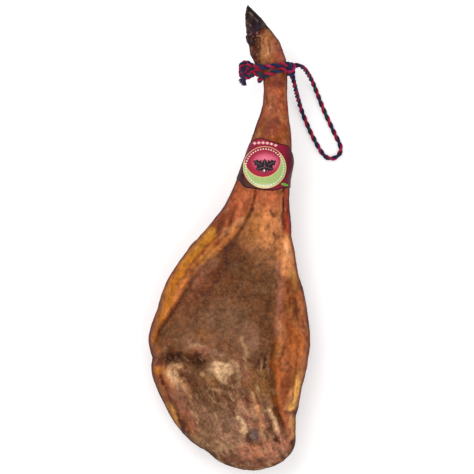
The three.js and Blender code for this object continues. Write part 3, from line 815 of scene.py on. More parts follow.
def ham_surface():
    """The leg's grid, moved along its own normals by a sum of noises and upwards by its creases,
    and its colours: broad patches, then the strokes, some of them painted shade and highlights,
    then small patches, stains, and painted shade on steep flanks and in creases."""
    grid, up = leg_grid()
    shape = grid.shape[:2]
    flat = grid.reshape(-1, 3)

    def wave(size, seed, stretch=(1, 1, 1)):
        """Noise of that size at each point, drawn out along the axes."""
        return lattice_noise(flat / stretch, size, seed).reshape(shape)

    # Places shaken by a few millimetres, so that the edges of strokes and patches wander.
    x = grid[..., 0] + 4 * wave(26, 11) + 2.4 * wave(8, 12) + 1.2 * wave(4, 17)
    y = grid[..., 1] + 4 * wave(26, 13) + 2.4 * wave(8, 14) + 1.2 * wave(4, 18)
    bare = smooth_step(*BARE_SPAN, grid[..., 1])
    fine = relief(grid[..., 0] + 2 * wave(14, 15), grid[..., 1] + 2 * wave(14, 16), FINE_RELIEF)
    fine *= smooth_step(0.02, 0.4, up) * bare
    # The cut meat lies between the rind's edge and the folded skin.
    left, right = (
        np.interp(-y, [-place[1] for place in edge], [place[0] for place in edge])
        for edge in (RIND_EDGE, SKIN_EDGE)
    )
    rump_x, rump_y = RIND_EDGE[-1]
    left = np.where(y < rump_y, rump_x + RUMP_LEAN * np.abs(y - rump_y), left)
    meat = smooth_step(-2, 4, x - left) * smooth_step(3, -5, x - right) * smooth_step(24, -44, y)
    meat *= smooth_step(0.1, 0.35, up)
    skin = 1 - meat
    sole = smooth_step(*SOLE_ACROSS, x) * smooth_step(*SOLE_ALONG, y)
    low = smooth_step(*LOW_SPAN, y) * meat
    # Fibres are noise drawn out along a slanting way that bends a little.
    bent = flat + 5 * np.stack([wave(30, 66).ravel(), wave(30, 67).ravel(), 0 * flat[:, 0]], axis=1)
    fibre = bent @ np.array(FIBRE_AXES).T / FIBRE_STRETCH
    fibres = lattice_noise(fibre, 4.2, 25).reshape(shape)
    broad_fibres = lattice_noise(fibre, 9, 26).reshape(shape)
    strands = wave(6, 24, (1, 3.4, 1))
    # Skin and meat are lumpy, but smoother where they meet the table, the band and the claws.
    lumps = 1.2 * wave(34, 21) + 0.6 * wave(12, 22) + 0.25 * wave(6, 27)
    lumps += (0.1 + 0.12 * meat) * wave(4.2, 23) + 0.4 * strands * skin + 0.9 * fibres * low
    lumps += 1.6 * sole * wave(5, 28)
    held = smooth_step(0, 8, grid[..., 2]) * smooth_step(0, 12, LEG_STATIONS[-1][0] - grid[..., 1])
    covered = smooth_step(*BAND_SPANS[0], grid[..., 1]) * smooth_step(*BAND_SPANS[1], grid[..., 1])
    normal = grid_normals(grid)
    grid = grid + normal * (lumps * (held * (1 - 0.85 * covered)))[..., None]
    grid[..., 2] += fine
    grid[..., 1] = np.minimum(grid[..., 1], coronet(grid[..., 0]) + 0.8 * wave(6, 29))

    key_y, key_colour = zip(*SKIN_COLOURS)
    tone = linear(np.array(key_colour))
    tint = np.stack([np.interp(y, key_y, tone[:, k]) for k in range(3)], axis=-1)
    patchy = smooth_step(-0.35, 0.35, wave(22, 65))
    tint = lay_all(tint, [
        (LEAN, 0.9 * meat),
        (BRICK, 0.5 * skin * smooth_step(0, 0.5, wave(24, 51, (1, 1.6, 1)))),
        (PEACH, 0.4 * skin * smooth_step(0.1, 0.6, wave(17, 52, (1, 1.5, 1)))),
        (UMBER, 0.4 * skin * smooth_step(0.15, 0.65, wave(13, 53, (1, 2.2, 1)))),
        (MAROON, 0.35 * skin * bare * smooth_step(0.1, 0.6, strands)),
        (GOLD, 0.35 * skin * bare * smooth_step(-0.1, -0.6, strands)),
        (LEAN_RED, 0.45 * meat * smooth_step(0, 0.5, wave(32, 54))),
        (OLIVE, 0.4 * meat * smooth_step(0, 0.5, wave(26, 55))),
        (UMBER, 0.35 * meat * smooth_step(0.05, 0.55, wave(18, 56))),
        (CREAM, 0.5 * low * patchy * smooth_step(0.15, 0.6, fibres)),
        (UMBER, 0.4 * low * smooth_step(-0.15, -0.6, fibres)),
        (GREY_BROWN, 0.6 * low * smooth_step(-0.1, 0.5, broad_fibres)),
    ])
    tint = lay_all(paint(tint, x, y, STROKES, wave(5, 57)), [
        (CREAM, 0.3 * low * patchy * smooth_step(0.2, 0.6, fibres)),
        (UMBER, 0.25 * low * smooth_step(-0.2, -0.6, fibres)),
        (MAROON, 0.3 * skin * bare * smooth_step(0.2, 0.7, strands)),
        (GREY_BROWN, 0.25 * meat * smooth_step(0.1, 0.55, wave(9, 58))),
        (DARK, (0.3 - 0.05 * meat) * smooth_step(0.3, 0.7, wave(4.5, 60))),
        # Painted highlights: small pale peach dots on the skin, as glints on the oil.
        (PEACH, 0.3 * skin * smooth_step(0.35, 0.7, wave(5.5, 59))),
    ])
    uneven = 0.24 * wave(9, 62, (1, 1.6, 1)) + (0.36 - 0.12 * skin) * wave(3.6, 63)
    stain = smooth_step(24, 3, coronet(grid[..., 0]) - grid[..., 1] + 5 * wave(7, 64))
    raw = smooth_step(0.1, 0.5, wave(2.9, 61)) * smooth_step(-0.4, 0.3, wave(9, 68))
    tint = lay_all(tint * (1 + uneven)[..., None], [
        (HOOF_STAIN, 0.85 * stain), (DARK, 0.8 * sole), (PINK, 0.75 * sole * raw),
    ])
    rind = linear(RIND_BROWN) * (1 + 0.3 * wave(30, 31) + 0.25 * wave(9, 32))[..., None]
    under = smooth_step(0.0, -0.5, up) * smooth_step(*RIND_SPAN, y)
    tint += under[..., None] * (rind - tint)
    # Painted shade: steep flanks are darker, creases darker and ridges a little lighter; and oil adds a
    # little white to everything.
    steep = smooth_step(0.72, 0.12, normal[..., 2]) * (1 - 0.7 * under)
    crease_and_ridge_shading = np.clip(1 + 0.12 * fine, 0.45, 1.25)
    shown = tint * crease_and_ridge_shading[..., None] * (1 - steep[..., None] * EDGE_DARKENING)
    sheen = OIL_SHEEN * (1 + 0.35 * skin)[..., None]
    # Smears show in the low part, less on pale fat and in dark hollows, and not on the bone.
    streaky = low * (0.3 + 0.7 * smooth_step(0.36, 0.18, tint[..., 1]))
    streaky *= 0.25 + 0.75 * smooth_step(0.024, 0.05, tint[..., 1])
    streaky *= smooth_step(9, 14, np.hypot(x - BONE_END[0], y - BONE_END[1]))
    return grid, np.maximum(DEEPEN * shown - sheen, 0.003), meat, streaky, steep


def closed_grid(grid, tint):
    """Points, faces and colours of a grid whose rings close round, with a point at each end."""
    rings, sides = grid.shape[:2]
    ends = np.stack([grid[0].mean(axis=0), grid[-1].mean(axis=0)])
    points = np.vstack([grid.reshape(-1, 3), ends])
    tints = np.vstack([tint.reshape(-1, 3), tint[0].mean(axis=0), tint[-1].mean(axis=0)])
    around = np.arange(sides)
    after = (around + 1) % sides
    count = rings * sides
    start = np.c_[np.full(sides, count), after, around]
    close = np.c_[np.full(sides, count + 1), count - sides + around, count - sides + after]
    return points, tube_faces(rings, sides).tolist() + start.tolist() + close.tolist(), tints


def add_share(piece, name, values):
    """A number from 0 to 1 at each point of a piece, for its material to read."""
    shares = piece.data.attributes.new(name, "FLOAT", "POINT")
    shares.data.foreach_set("value", np.asarray(values, np.float32))


def ham_material():
    """Dry meat and oiled skin: specks all over, and dark and pale smears along the fibres in the
    lower part, where a stretched noise is high."""
    material, tree, shader, place = new_material("ham_cured")
    meat, streaky, steep = (attribute(tree, name) for name in ("Meat", "Streaky", "Steep"))
    along = add_node(tree, "ShaderNodeMapping", {
        "Vector": place, "Rotation": (0, 0, FIBRE_TURN), "Scale": (1, 2.4, 1),
    }, vector_type="TEXTURE").outputs["Vector"]
    mottle = noise(tree, place, 120, 6, 0.66)
    specks = noise(tree, place, 420, 3, 0.6)
    bloom = noise(tree, place, 300, 3, 0.6)
    grain = noise(tree, place, 900, 4, 0.65)
    strength = ramp(tree, meat, 0, 1, 0.34, 0.36)
    uneven = number(tree, "MULTIPLY", number(tree, "SUBTRACT", mottle, 0.5), strength)
    shade = number(tree, "MULTIPLY_ADD", uneven, 4.2, 1.0)
    colour = times(tree, attribute(tree, "Tint", "Color"), shade)
    pale = number(tree, "MULTIPLY", ramp(tree, bloom, 0.55, 0.75, 0.0, 0.32), meat)
    colour = blend(tree, pale, colour, linear(PALE_SPECK))
    speckled = ramp(tree, meat, 0, 1, 0.3, 1.0)
    dark = number(tree, "MULTIPLY", ramp(tree, specks, 0.55, 0.66, 0.0, 0.7), speckled)
    colour = blend(tree, dark, colour, linear(DARK_SPECK))
    for scale, smear, start, most in SMEARS:
        streaks = ramp(tree, noise(tree, along, scale, 5, 0.62, 0.25), start, start + 0.1, 0.0, most)
        cover = number(tree, "MULTIPLY", streaks, ramp(tree, streaky, 0, 1, 0.15, 1.0))
        colour = blend(tree, cover, colour, linear(smear))
    dryness = ramp(tree, meat, 0, 1, 0.4, 0.62)
    roughness = number(tree, "ADD", dryness, ramp(tree, mottle, 0.3, 0.7, -0.08, 0.1))
    depth = ramp(tree, meat, 0, 1, 0.22, 0.5)
    set_inputs(tree, shader, {
        "Base Color": colour,
        "Roughness": number(tree, "MULTIPLY_ADD", steep, 0.4, roughness),
        "Normal": bump(tree, mottle, depth, 0.0018, Normal=bump(tree, grain, 0.25, 0.0006)),
        "Specular IOR Level": 0.13,
    })
    return material


ham_grid, ham_tint, ham_meat, ham_streaky, ham_steep = ham_surface()
ham = new_piece("ham_leg", *closed_grid(ham_grid, ham_tint))
add_share(ham, "Meat", np.append(ham_meat, [1, 0]))
add_share(ham, "Streaky", np.append(ham_streaky, [1, 0]))
add_share(ham, "Steep", np.append(ham_steep, [1, 1]))
ham.data.materials.append(ham_material())
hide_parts("ham")

# Claws
# Two main claws and two dewclaws of dark horn, grown onto the end of the foot one above the
# other, because the leg lies on its side. Their soles, at the left, are dry and flaky.
# The claw: y, left x, right x, top z and bottom z about its own mid-plane.
CLAW_STATIONS = [
    (326, 48, 48, 0, 0), (333, 36, 66, 8, -8), (345, 29, 67, 10, -10), (358, 27, 63, 10, -10),
    (370, 27, 54, 9, -9), (381, 27.5, 43, 7, -7), (388, 28.5, 35.5, 4.5, -4.5), (392.5, 31, 31, 0, 0),
]
CLAW_RINGS = 150
CLAW_SIDES = 96
FOOT_LEVEL = 84.0
CLAW_OFFSET = 11.2
LOWER_CLAW_SHIFT = (1.5, -3.0)
GROWTH_RING = 4.6
RING_RISE = 0.35
# The share of its thickness that a claw loses where it runs under the skin.
ROOT_PRESS = 0.36
DEWCLAW_CENTRE = (34.5, 334.0)
DEWCLAW_OFFSET = 13.0
DEWCLAW_LENGTH = 20.0
DEWCLAW_RADIUS = 7.5
DEWCLAW_TURN = 0.9
DEWCLAW_BEND = 1.6
DEWCLAW_RINGS = 36
DEWCLAW_SIDES = 40
HORN = (27, 14, 15)
HORN_GREY = (146, 124, 114)
HORN_PURPLE = (60, 44, 62)
SOLE = (74, 38, 36)
SOLE_PALE = (158, 122, 108)
HORN_CHALK = (132, 108, 98)
# Painted highlight: the route of a grey streak along the claws' ridge.
RIDGE_HIGHLIGHT_ROUTE = [(35, 379), (41, 372), (47, 365)]


def horn_tint(points, sole):
    """Dark horn, purplish by the skin and grey in streaks, with a painted highlight along the claw's
    ridge, browner on the flaky sole.
    """
    def wave(size, seed):
        """Noise of that size at each point."""
        return lattice_noise(points, size, seed)

    streaks = lattice_noise(points / (1, 7, 1), 3.4, 41)
    x, y = points[:, 0] + 2 * wave(6, 38), points[:, 1]
    near_skin = smooth_step(22, 8, y - coronet(x)) * smooth_step(32, 38, x) * smooth_step(58, 50, x)
    # Painted highlight: grey along the claw's ridge, broken by streaks.
    ridge_highlight = 0.5 * smooth_step(-0.3, 0.5, streaks) / (1 + (route_distance(x, y, RIDGE_HIGHLIGHT_ROUTE) / 1.3) ** 4)
    grey = 0.25 * smooth_step(0.15, 0.7, streaks) * smooth_step(-0.3, 0.4, wave(9, 40))
    tint = lay_all(linear(HORN) * (1 + 0.5 * wave(7, 42))[:, None], [
        (HORN_PURPLE, 0.5 * near_skin * smooth_step(-0.4, 0.3, wave(8, 39))),
        (HORN_GREY, np.maximum(grey, ridge_highlight)),
        (SOLE, sole * smooth_step(-0.5, 0.5, wave(3.4, 43))),
        (SOLE_PALE, 0.6 * sole * smooth_step(0.25, 0.7, wave(2.8, 37))),
    ])
    return np.clip(tint, 0.004, 1)


def claw_surface(level, shift):
    """One claw: a flattened oval through its stations, with rings of growth that rise and fall
    as a sine along it, and a rough sole."""
    fraction = np.linspace(0, 1, CLAW_RINGS + 1)[1:-1, None]
    angle = np.linspace(np.pi, -np.pi, CLAW_SIDES, endpoint=False)[None]
    y, left, right, top, bottom = stations_at(CLAW_STATIONS, fraction)
    x = (left + right) / 2 + (right - left) / 2 * np.cos(angle)
    z = (top + bottom) / 2 + (top - bottom) / 2 * np.sin(angle)
    grid = np.stack([x, y + 0 * x, z], axis=-1)
    flat = grid.reshape(-1, 3) + (0, 0, level)
    normal = grid_normals(grid)
    sole = smooth_step(-0.2, -0.85, np.cos(angle)) + 0 * y
    slant = y - CORONET_SLANT * x
    bend = 1.6 * lattice_noise(flat, 9, 44).reshape(x.shape)
    rings = RING_RISE * np.sin(2 * np.pi * slant / GROWTH_RING + bend)
    rough = lattice_noise(flat, 2.6, 45) * 0.7 + lattice_noise(flat, 6, 46) * 0.9
    rise = rings * (1 - sole) + rough.reshape(rings.shape) * (0.25 + sole)
    ends = smooth_step(0, 0.06, fraction) * smooth_step(1, 0.96, fraction)
    grid = grid + normal * (rise * ends)[..., None]
    grid[..., 2] *= 1 - ROOT_PRESS * smooth_step(0.5, -4, grid[..., 1] - coronet(grid[..., 0]))
    grid += np.array([shift[0], shift[1], level])
    return grid, horn_tint(flat, sole.ravel()).reshape(grid.shape)


def dewclaw_surface(level):
    """A small blunt horn: circles that shrink and bend forwards along a curved axis."""
    along = np.linspace(0, 1, DEWCLAW_RINGS)[:, None]
    angle = np.linspace(np.pi, -np.pi, DEWCLAW_SIDES, endpoint=False)[None]
    radius = DEWCLAW_RADIUS * np.maximum(1 - along**2.2, 0.02) ** 0.62
    x = radius * np.cos(angle) + DEWCLAW_BEND * along**2
    y = DEWCLAW_LENGTH * (along - 0.5) * 0.94 + 0 * x
    z = radius * np.sin(angle) * 0.9
    grid = np.stack([x, y, z], axis=-1)
    flat = grid.reshape(-1, 3) + (0, 0, level)
    grid += grid_normals(grid) * (0.5 * lattice_noise(flat, 3, 47).reshape(x.shape))[..., None]
    cos, sin = np.cos(DEWCLAW_TURN), np.sin(DEWCLAW_TURN)
    turned = np.stack([
        DEWCLAW_CENTRE[0] + cos * grid[..., 0] - sin * grid[..., 1],
        DEWCLAW_CENTRE[1] + sin * grid[..., 0] + cos * grid[..., 1],
        level + grid[..., 2],
    ], axis=-1)
    return turned, horn_tint(turned.reshape(-1, 3), np.full(turned[..., 0].size, 0.4)).reshape(grid.shape)


def horn_material():
    """Dry horn: a dull shine along the ribs, chalky specks where it is rubbed."""
    material, tree, shader, place = new_material("ham_horn")
    grain = noise(tree, place, 700, 5, 0.7, 0.5)
    wear = noise(tree, place, 240, 4, 0.6)
    colour = times(tree, attribute(tree, "Tint", "Color"), ramp(tree, grain, 0.3, 0.7, 0.6, 1.5))
    chalky = ramp(tree, wear, 0.6, 0.75, 0.0, 0.15)
    set_inputs(tree, shader, {
        "Base Color": blend(tree, chalky, colour, linear(HORN_CHALK)),
        "Roughness": ramp(tree, wear, 0.3, 0.7, 0.4, 0.7),
        "Normal": bump(tree, grain, 0.7, 0.0015),
        "Specular IOR Level": 0.09,
    })
    return material


horn_finish = horn_material()
for side, name in ((1, "upper"), (-1, "lower")):
    shift = (0.0, 0.0) if side > 0 else LOWER_CLAW_SHIFT
    claw_grid, claw_tint = claw_surface(FOOT_LEVEL + side * CLAW_OFFSET, shift)
    dew_grid, dew_tint = dewclaw_surface(FOOT_LEVEL + side * DEWCLAW_OFFSET)
    for part_name, grid, tint in (("claw", claw_grid, claw_tint), ("dewclaw", dew_grid, dew_tint)):
        horn = new_piece(f"{part_name}_{name}", *closed_grid(grid, tint))
        horn.data.materials.append(horn_finish)

# Band
# A strip of glossy printed paper wrapped round the shank and glued to itself behind. Its front
# is wider and cut in a curve, with a round medallion; the rest is a plain dark strap.
# Edge heights along y by angle round the leg in degrees, from the right over the top.
BAND_TOP = [(0, 137), (14, 144), (40, 156), (62, 158.5), (80, 161), (100, 166), (120, 169),
            (140, 167), (158, 164), (172, 158), (184, 151), (205, 144), (235, 140), (300, 138), (360, 137)]
BAND_BOTTOM = [(0, 86), (49, 84), (69, 79.5), (94, 82), (125, 86), (145, 96), (180, 102),
               (230, 98), (300, 90), (360, 86)]
BAND_GAP = 0.7
BAND_THICKNESS = 0.7
# Where the paper stands off the shank at its right edge: how far, its y and its half length.
BAND_BULGE = (3.2, 127, 15)
BAND_ROWS = 190
BAND_FRONT = 330
BAND_BACK = 90
MEDALLION = (59.5, 119.0)
MEDALLION_RADIUS = 34.8
WINE = (134, 20, 50)
DARK_WINE = (92, 14, 34)
BLACK_WINE = (30, 10, 12)
STRAP_BROWN = (60, 44, 36)
ROSE = (162, 36, 64)
BRICK_FIELD = (140, 30, 38)
BLUSH = (222, 112, 136)
PALE_ROSE = (232, 186, 178)
GILT = (234, 176, 128)
LEAF_DARK = (38, 24, 32)
LEAF_VEIN = (128, 110, 108)
PEARL = (236, 226, 226)
LIME = (158, 178, 110)
PALE_LIME = (206, 206, 156)
LEAF_GREEN = (96, 170, 48)
BEADS = 44
BEAD_INSET = 4
# The circle that cuts the crescent, from the medallion's centre, and the row of diamonds.
CRESCENT_CENTRE = (-3.0, 13.0)
CRESCENT_RADIUS = 29.5
DIAMONDS = 6
DIAMOND_ROW = 17
SMALL_LEAF = (92, 90.5)
# The short steps along the leg and round it that its slopes are read over.
SLOPE_ALONG = 0.004
SLOPE_ROUND = 0.05
# Oak leaves of the emblem: stalk to tip direction in degrees, length and width.
OAK_LEAVES = [(152, 21, 6.2), (28, 21, 6.2), (196, 15, 5.2), (-16, 15, 5.2), (90, 13, 5.0)]


def edge_height(table, degrees):
    """The band's edge: straight between the rows of its table, then evened out over a span."""
    angles, heights = zip(*table)
    span = np.linspace(-9, 9, 13)
    return sum(np.interp(np.mod(degrees + shift, 360), angles, heights) for shift in span) / len(span)


def leg_fraction(y):
    """The fraction along the leg at which its section lies at each y, read from a fine table."""
    table = np.linspace(0.02, 0.98, 4001)
    return np.interp(y, stations_at(LEG_STATIONS, table)[0], table)


def off_skin(y, angle, distance):
    """Points held a distance off the leg's skin, along the skin's own normal."""
    fraction = leg_fraction(y)
    along = leg_skin(fraction + SLOPE_ALONG, angle) - leg_skin(fraction - SLOPE_ALONG, angle)
    around = leg_skin(fraction, angle + SLOPE_ROUND) - leg_skin(fraction, angle - SLOPE_ROUND)
    normal = np.cross(around, along)
    normal /= np.linalg.norm(normal, axis=-1, keepdims=True)
    outward = normal[..., 2] * np.sin(angle) + normal[..., 0] * np.cos(angle)
    normal *= np.where(outward < 0, -1, 1)[..., None]
    return leg_skin(fraction, angle) + normal * np.asarray(distance)[..., None]


def band_print(x, y, degrees, low, high):
    """The print, from simple shapes: a beaded ring, a glow behind a spray of oak leaves, and a
    green crescent below."""
    tint = np.broadcast_to(linear(WINE), (*x.shape, 3)).copy()

    def lay(colour, share):
        """Prints a colour over the ones before it."""
        tint[:] = blotch(tint, colour, share)

    across, up = x - MEDALLION[0], y - MEDALLION[1]
    radius = np.hypot(across, up)
    turn = np.arctan2(up, across)
    inside = smooth_step(0.6, -0.6, radius - MEDALLION_RADIUS)
    front = smooth_step(30, 55, degrees) * smooth_step(165, 135, degrees)
    lay(DARK_WINE, 1 - front)
    lay(DARK_WINE, 0.3 * smooth_step(30, 38, across))
    lay(BLACK_WINE, 0.6 * smooth_step(38, 44, across))
    lay(BLACK_WINE, 0.85 * smooth_step(-27, -37, across))
    lay(STRAP_BROWN, 0.85 * smooth_step(-14, -28, up) * smooth_step(30, -8, across))
    lay(ROSE, 0.45 * smooth_step(26, 36, up) * smooth_step(30, 8, np.abs(across - 4)))
    for place in np.linspace(-DIAMOND_ROW, DIAMOND_ROW, DIAMONDS):
        diamond = np.abs(across - 1 - place) / 3.2 + np.abs(up - 41 + 0.008 * place**2 + 0.1 * place) / 2.6
        lay(PALE_ROSE, 0.9 * smooth_step(1.1, 0.85, diamond))
    leaf_x, leaf_y = x - SMALL_LEAF[0], y - SMALL_LEAF[1]
    lay(LEAF_GREEN, 0.9 * smooth_step(1.1, 0.8, np.hypot(leaf_x / 6, (leaf_y + 0.2 * leaf_x) / 2.4)))
    lay(BRICK_FIELD, inside)
    lay(ROSE, 0.9 * inside * smooth_step(1.3, 0.5, np.hypot(across / 29, (up - 6) / 25)))
    lay(BLUSH, 0.9 * inside * smooth_step(1.25, 0.45, np.hypot((across - 2) / 22, (up - 9) / 15)))
    cut = np.hypot(across - CRESCENT_CENTRE[0], up - CRESCENT_CENTRE[1]) - CRESCENT_RADIUS
    crescent = smooth_step(-0.5, 0.5, cut)
    lay(LIME, inside * crescent)
    lay(PALE_LIME, inside * crescent * smooth_step(-24, -34, up))
    lay(GILT, 0.8 * inside * smooth_step(0.8, 0.4, np.abs(cut)))
    for direction, length, width in OAK_LEAVES:
        c, s = np.cos(np.radians(direction)), np.sin(np.radians(direction))
        along = across * c + (up - 1) * s
        aside = (up - 1) * c - across * s
        share = np.clip(along / length, 0, 1)
        lobes = width * np.sin(np.pi * share**0.85) ** 0.7 * (1 + 0.28 * np.cos(share * 8 * np.pi))
        blade = smooth_step(0.35, -0.35, np.abs(aside) - lobes) * smooth_step(0.3, 1.2, along)
        lay(LEAF_DARK, blade * smooth_step(length + 0.3, length - 0.3, along))
        lay(LEAF_VEIN, 0.7 * blade * smooth_step(0.55, 0.25, np.abs(aside)) * smooth_step(0.9, 0.8, share))
    lay(LEAF_DARK, smooth_step(1.1, 0.9, np.hypot(across / 3.4, (up + 4.5) / 5.2)))
    lay(PEARL, 0.75 * smooth_step(1.1, 0.8, np.hypot((across + 0.8) / 1.5, (up + 5.5) / 2.6)))
    bead = np.mod(turn / (2 * np.pi) * BEADS, 1) - 0.5
    bead_ring = MEDALLION_RADIUS - BEAD_INSET
    bead_size = np.hypot(bead * 2 * np.pi * bead_ring / BEADS, radius - bead_ring)
    lay(PEARL, 0.95 * inside * smooth_step(1.35, 0.85, bead_size))
    lay(GILT, smooth_step(0.7, 0.3, np.abs(radius - MEDALLION_RADIUS)))
    lay(BLACK_WINE, 0.6 * smooth_step(1.0, 0.4, np.abs(radius - MEDALLION_RADIUS - 1.4)))
    edge = np.minimum(y - low, high - y)
    lay(BLACK_WINE, 0.95 * smooth_step(2.4, 1.2, edge))
    return tint


def band_surface():
    """A thin wall round the shank: its outer face row by row, then its inner face back, as
    columns round the leg that follow the two edge curves."""
    front = np.linspace(np.pi, 0, BAND_FRONT, endpoint=False)
    back = np.linspace(0, -np.pi, BAND_BACK, endpoint=False)
    angle = np.concatenate([front, back])[None]
    degrees = np.degrees(np.mod(angle, 2 * np.pi))
    low, high = edge_height(BAND_BOTTOM, degrees), edge_height(BAND_TOP, degrees)
    share = np.linspace(0, 1, BAND_ROWS + 1)[:, None]
    y = low + (high - low) * share
    print_place = leg_skin(leg_fraction(y), angle + 0 * y)
    wrinkle = 0.28 * np.sin(y / 5.5 + 3 * np.sin(angle * 3)) * np.sin(angle * 9 + y / 14)
    wrinkle = np.maximum(wrinkle, -0.1) * smooth_step(0, 6, np.minimum(y - low, high - y))
    rise, middle, reach = BAND_BULGE
    bulge = rise * np.exp(-(((y - middle) / reach) ** 2))
    wrinkle = wrinkle + bulge * smooth_step(40, 8, np.abs(degrees - 4))
    outer = off_skin(y, angle + 0 * y, BAND_GAP + BAND_THICKNESS + wrinkle)
    inner_y = low + (high - low) * np.linspace(1, 0, 7)[:, None]
    inner = off_skin(inner_y, angle + 0 * inner_y, BAND_GAP + 0 * inner_y + 0 * angle)
    tint = band_print(print_place[..., 0], y, degrees + 0 * y, low + 0 * y, high + 0 * y)
    plain = np.broadcast_to(linear(PEARL), (*inner.shape[:2], 3))
    return np.vstack([outer, inner]), np.vstack([tint, plain])


def paper_material():
    """Glossy printed paper, lightly scuffed."""
    material, tree, shader, place = new_material("band_paper")
    scuffs = noise(tree, place, 320, 5, 0.7)
    shade = ramp(tree, scuffs, 0.3, 0.7, 0.86, 1.12)
    set_inputs(tree, shader, {
        "Base Color": times(tree, attribute(tree, "Tint", "Color"), shade),
        "Roughness": ramp(tree, scuffs, 0.3, 0.7, 0.36, 0.5),
        "Normal": bump(tree, noise(tree, place, 90, 3, 0.5, 1.2), 0.35, 0.0012),
        "Specular IOR Level": 0.1,
    })
    return material


band_grid, band_tint = band_surface()
rows, columns = band_grid.shape[:2]
band_faces = tube_faces(rows, columns).tolist()
around = np.arange(columns)
after = (around + 1) % columns
last_row = (rows - 1) * columns
band_faces += np.c_[last_row + around, last_row + after, after, around].tolist()
band = new_piece("band_paper", band_grid.reshape(-1, 3), band_faces, band_tint.reshape(-1, 3))
band.data.materials.append(paper_material())
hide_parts("label")

# Hitch
# The rope runs round the ankle twice and through its own bight at the right; at the left its
# two ends are tied together in a tight knot, with short frayed stubs.
HITCH_RADIUS = 4.6
ROPE_GAP = 0.6
HITCH_PITCH = 25.0
BIGHT_START = 0.95
BACK_START = np.pi + 0.35
BACK_END = 2 * np.pi - 0.5
WRAP_POINTS = 9
# Each turn: its y at the bight, at the left, behind the ankle and at the right, then its end.
STRANDS = [
    ((291, 284.5, 284, 287), [(102.6, 288.8, 79.8), (106, 290.3, 84), (112.6, 291.3, 85.2)]),
    ((283, 267, 269, 278), [(103.4, 277.5, 80.5), (106.2, 273, 83.2), (108.3, 265.6, 80.8)]),
]
BIGHT_ROUTE = [(104.5, 292.5, 97.5), (107.5, 286.5, 97), (106.5, 278.5, 97), (101.5, 275.5, 98)]
KNOT_CENTRE = (31.0, 283.0, 91.0)
KNOT_REACH = (9.0, 8.2)
KNOT_THICKNESS = 6.5
KNOT_LOBES = 0.42
KNOT_START = 0.25
KNOT_TURN = 5.8
KNOT_STRAND = 3.9
# The wraps' two ends where they run into the knot, and a turn pulled tight inside the bight.
TAIL_ROUTES = [
    [(60, 288, 108), (51, 289.5, 105), (43, 289, 99), (36, 287, 95)],
    [(58, 272, 106), (50, 275, 103), (42, 278, 97), (35, 281, 93)],
    [(97, 293, 99), (103, 290, 99.5), (104, 283, 99.5), (98, 278, 101)],
]
STUB_ROUTES = [
    [(31, 281, 95), (26, 273, 94), (24.5, 261, 87)],
    [(36, 281, 84), (29, 274, 82), (20, 266, 76)],
]
STUB_PITCH = 60.0
KNOT_PITCH = 15.0
KNOT_HALF_GAP = 2.2
# The frayed fibres: how many at each end, their radius and lengths, their points and sides.
FRAY_FIBRES = 110
FRAY_RADIUS = 0.42
FRAY_LENGTHS = (3.5, 7)
FRAY_POINTS = 6
FRAY_SIDES = 3


def wrap(from_angle, to_angle, from_y, to_y):
    """Points of a rope that lies on the ankle, evenly from one angle round it to another."""
    share = np.linspace(0, 1, WRAP_POINTS)
    angle = from_angle + (to_angle - from_angle) * share
    y = from_y + (to_y - from_y) * share
    return off_skin(y, angle, HITCH_RADIUS + ROPE_GAP + 0 * y)


def hitch_line():
    """The whole hitch as one line: in from the loop, behind the ankle, over it to the bight,
    back over the front, behind again and out to the loop."""
    halves = []
    for (bight_y, left_y, back_y, right_y), end in STRANDS:
        front = wrap(BIGHT_START, np.pi, bight_y, left_y)
        back = wrap(BACK_START, BACK_END, back_y, right_y)
        halves.append(np.vstack([front, back, end]))
    off = HITCH_RADIUS + ROPE_GAP
    over = [off_skin(291.8, 0.5, off + 1.5), *BIGHT_ROUTE, off_skin(281, 0.6, off + 1)]
    return smooth_route([*halves[0][::-1], *over, *halves[1]], ROPE_STEP)


def knot_lines():
    """Two strands side by side along a trefoil: its reach swells three times a round."""
    turn = KNOT_START + KNOT_TURN * np.linspace(0, 1, 64)
    reach = 1 + KNOT_LOBES * np.cos(3 * turn)
    middle = np.stack([
        KNOT_CENTRE[0] + KNOT_REACH[0] * reach * np.cos(2 * turn),
        KNOT_CENTRE[1] + KNOT_REACH[1] * reach * np.sin(2 * turn),
        KNOT_CENTRE[2] + KNOT_THICKNESS * np.sin(3 * turn),
    ], axis=1)
    middle = smooth_route(middle, ROPE_STEP)
    outward = middle - np.array(KNOT_CENTRE)
    outward /= np.linalg.norm(outward, axis=1, keepdims=True)
    return [middle + KNOT_HALF_GAP * outward, middle - KNOT_HALF_GAP * outward]


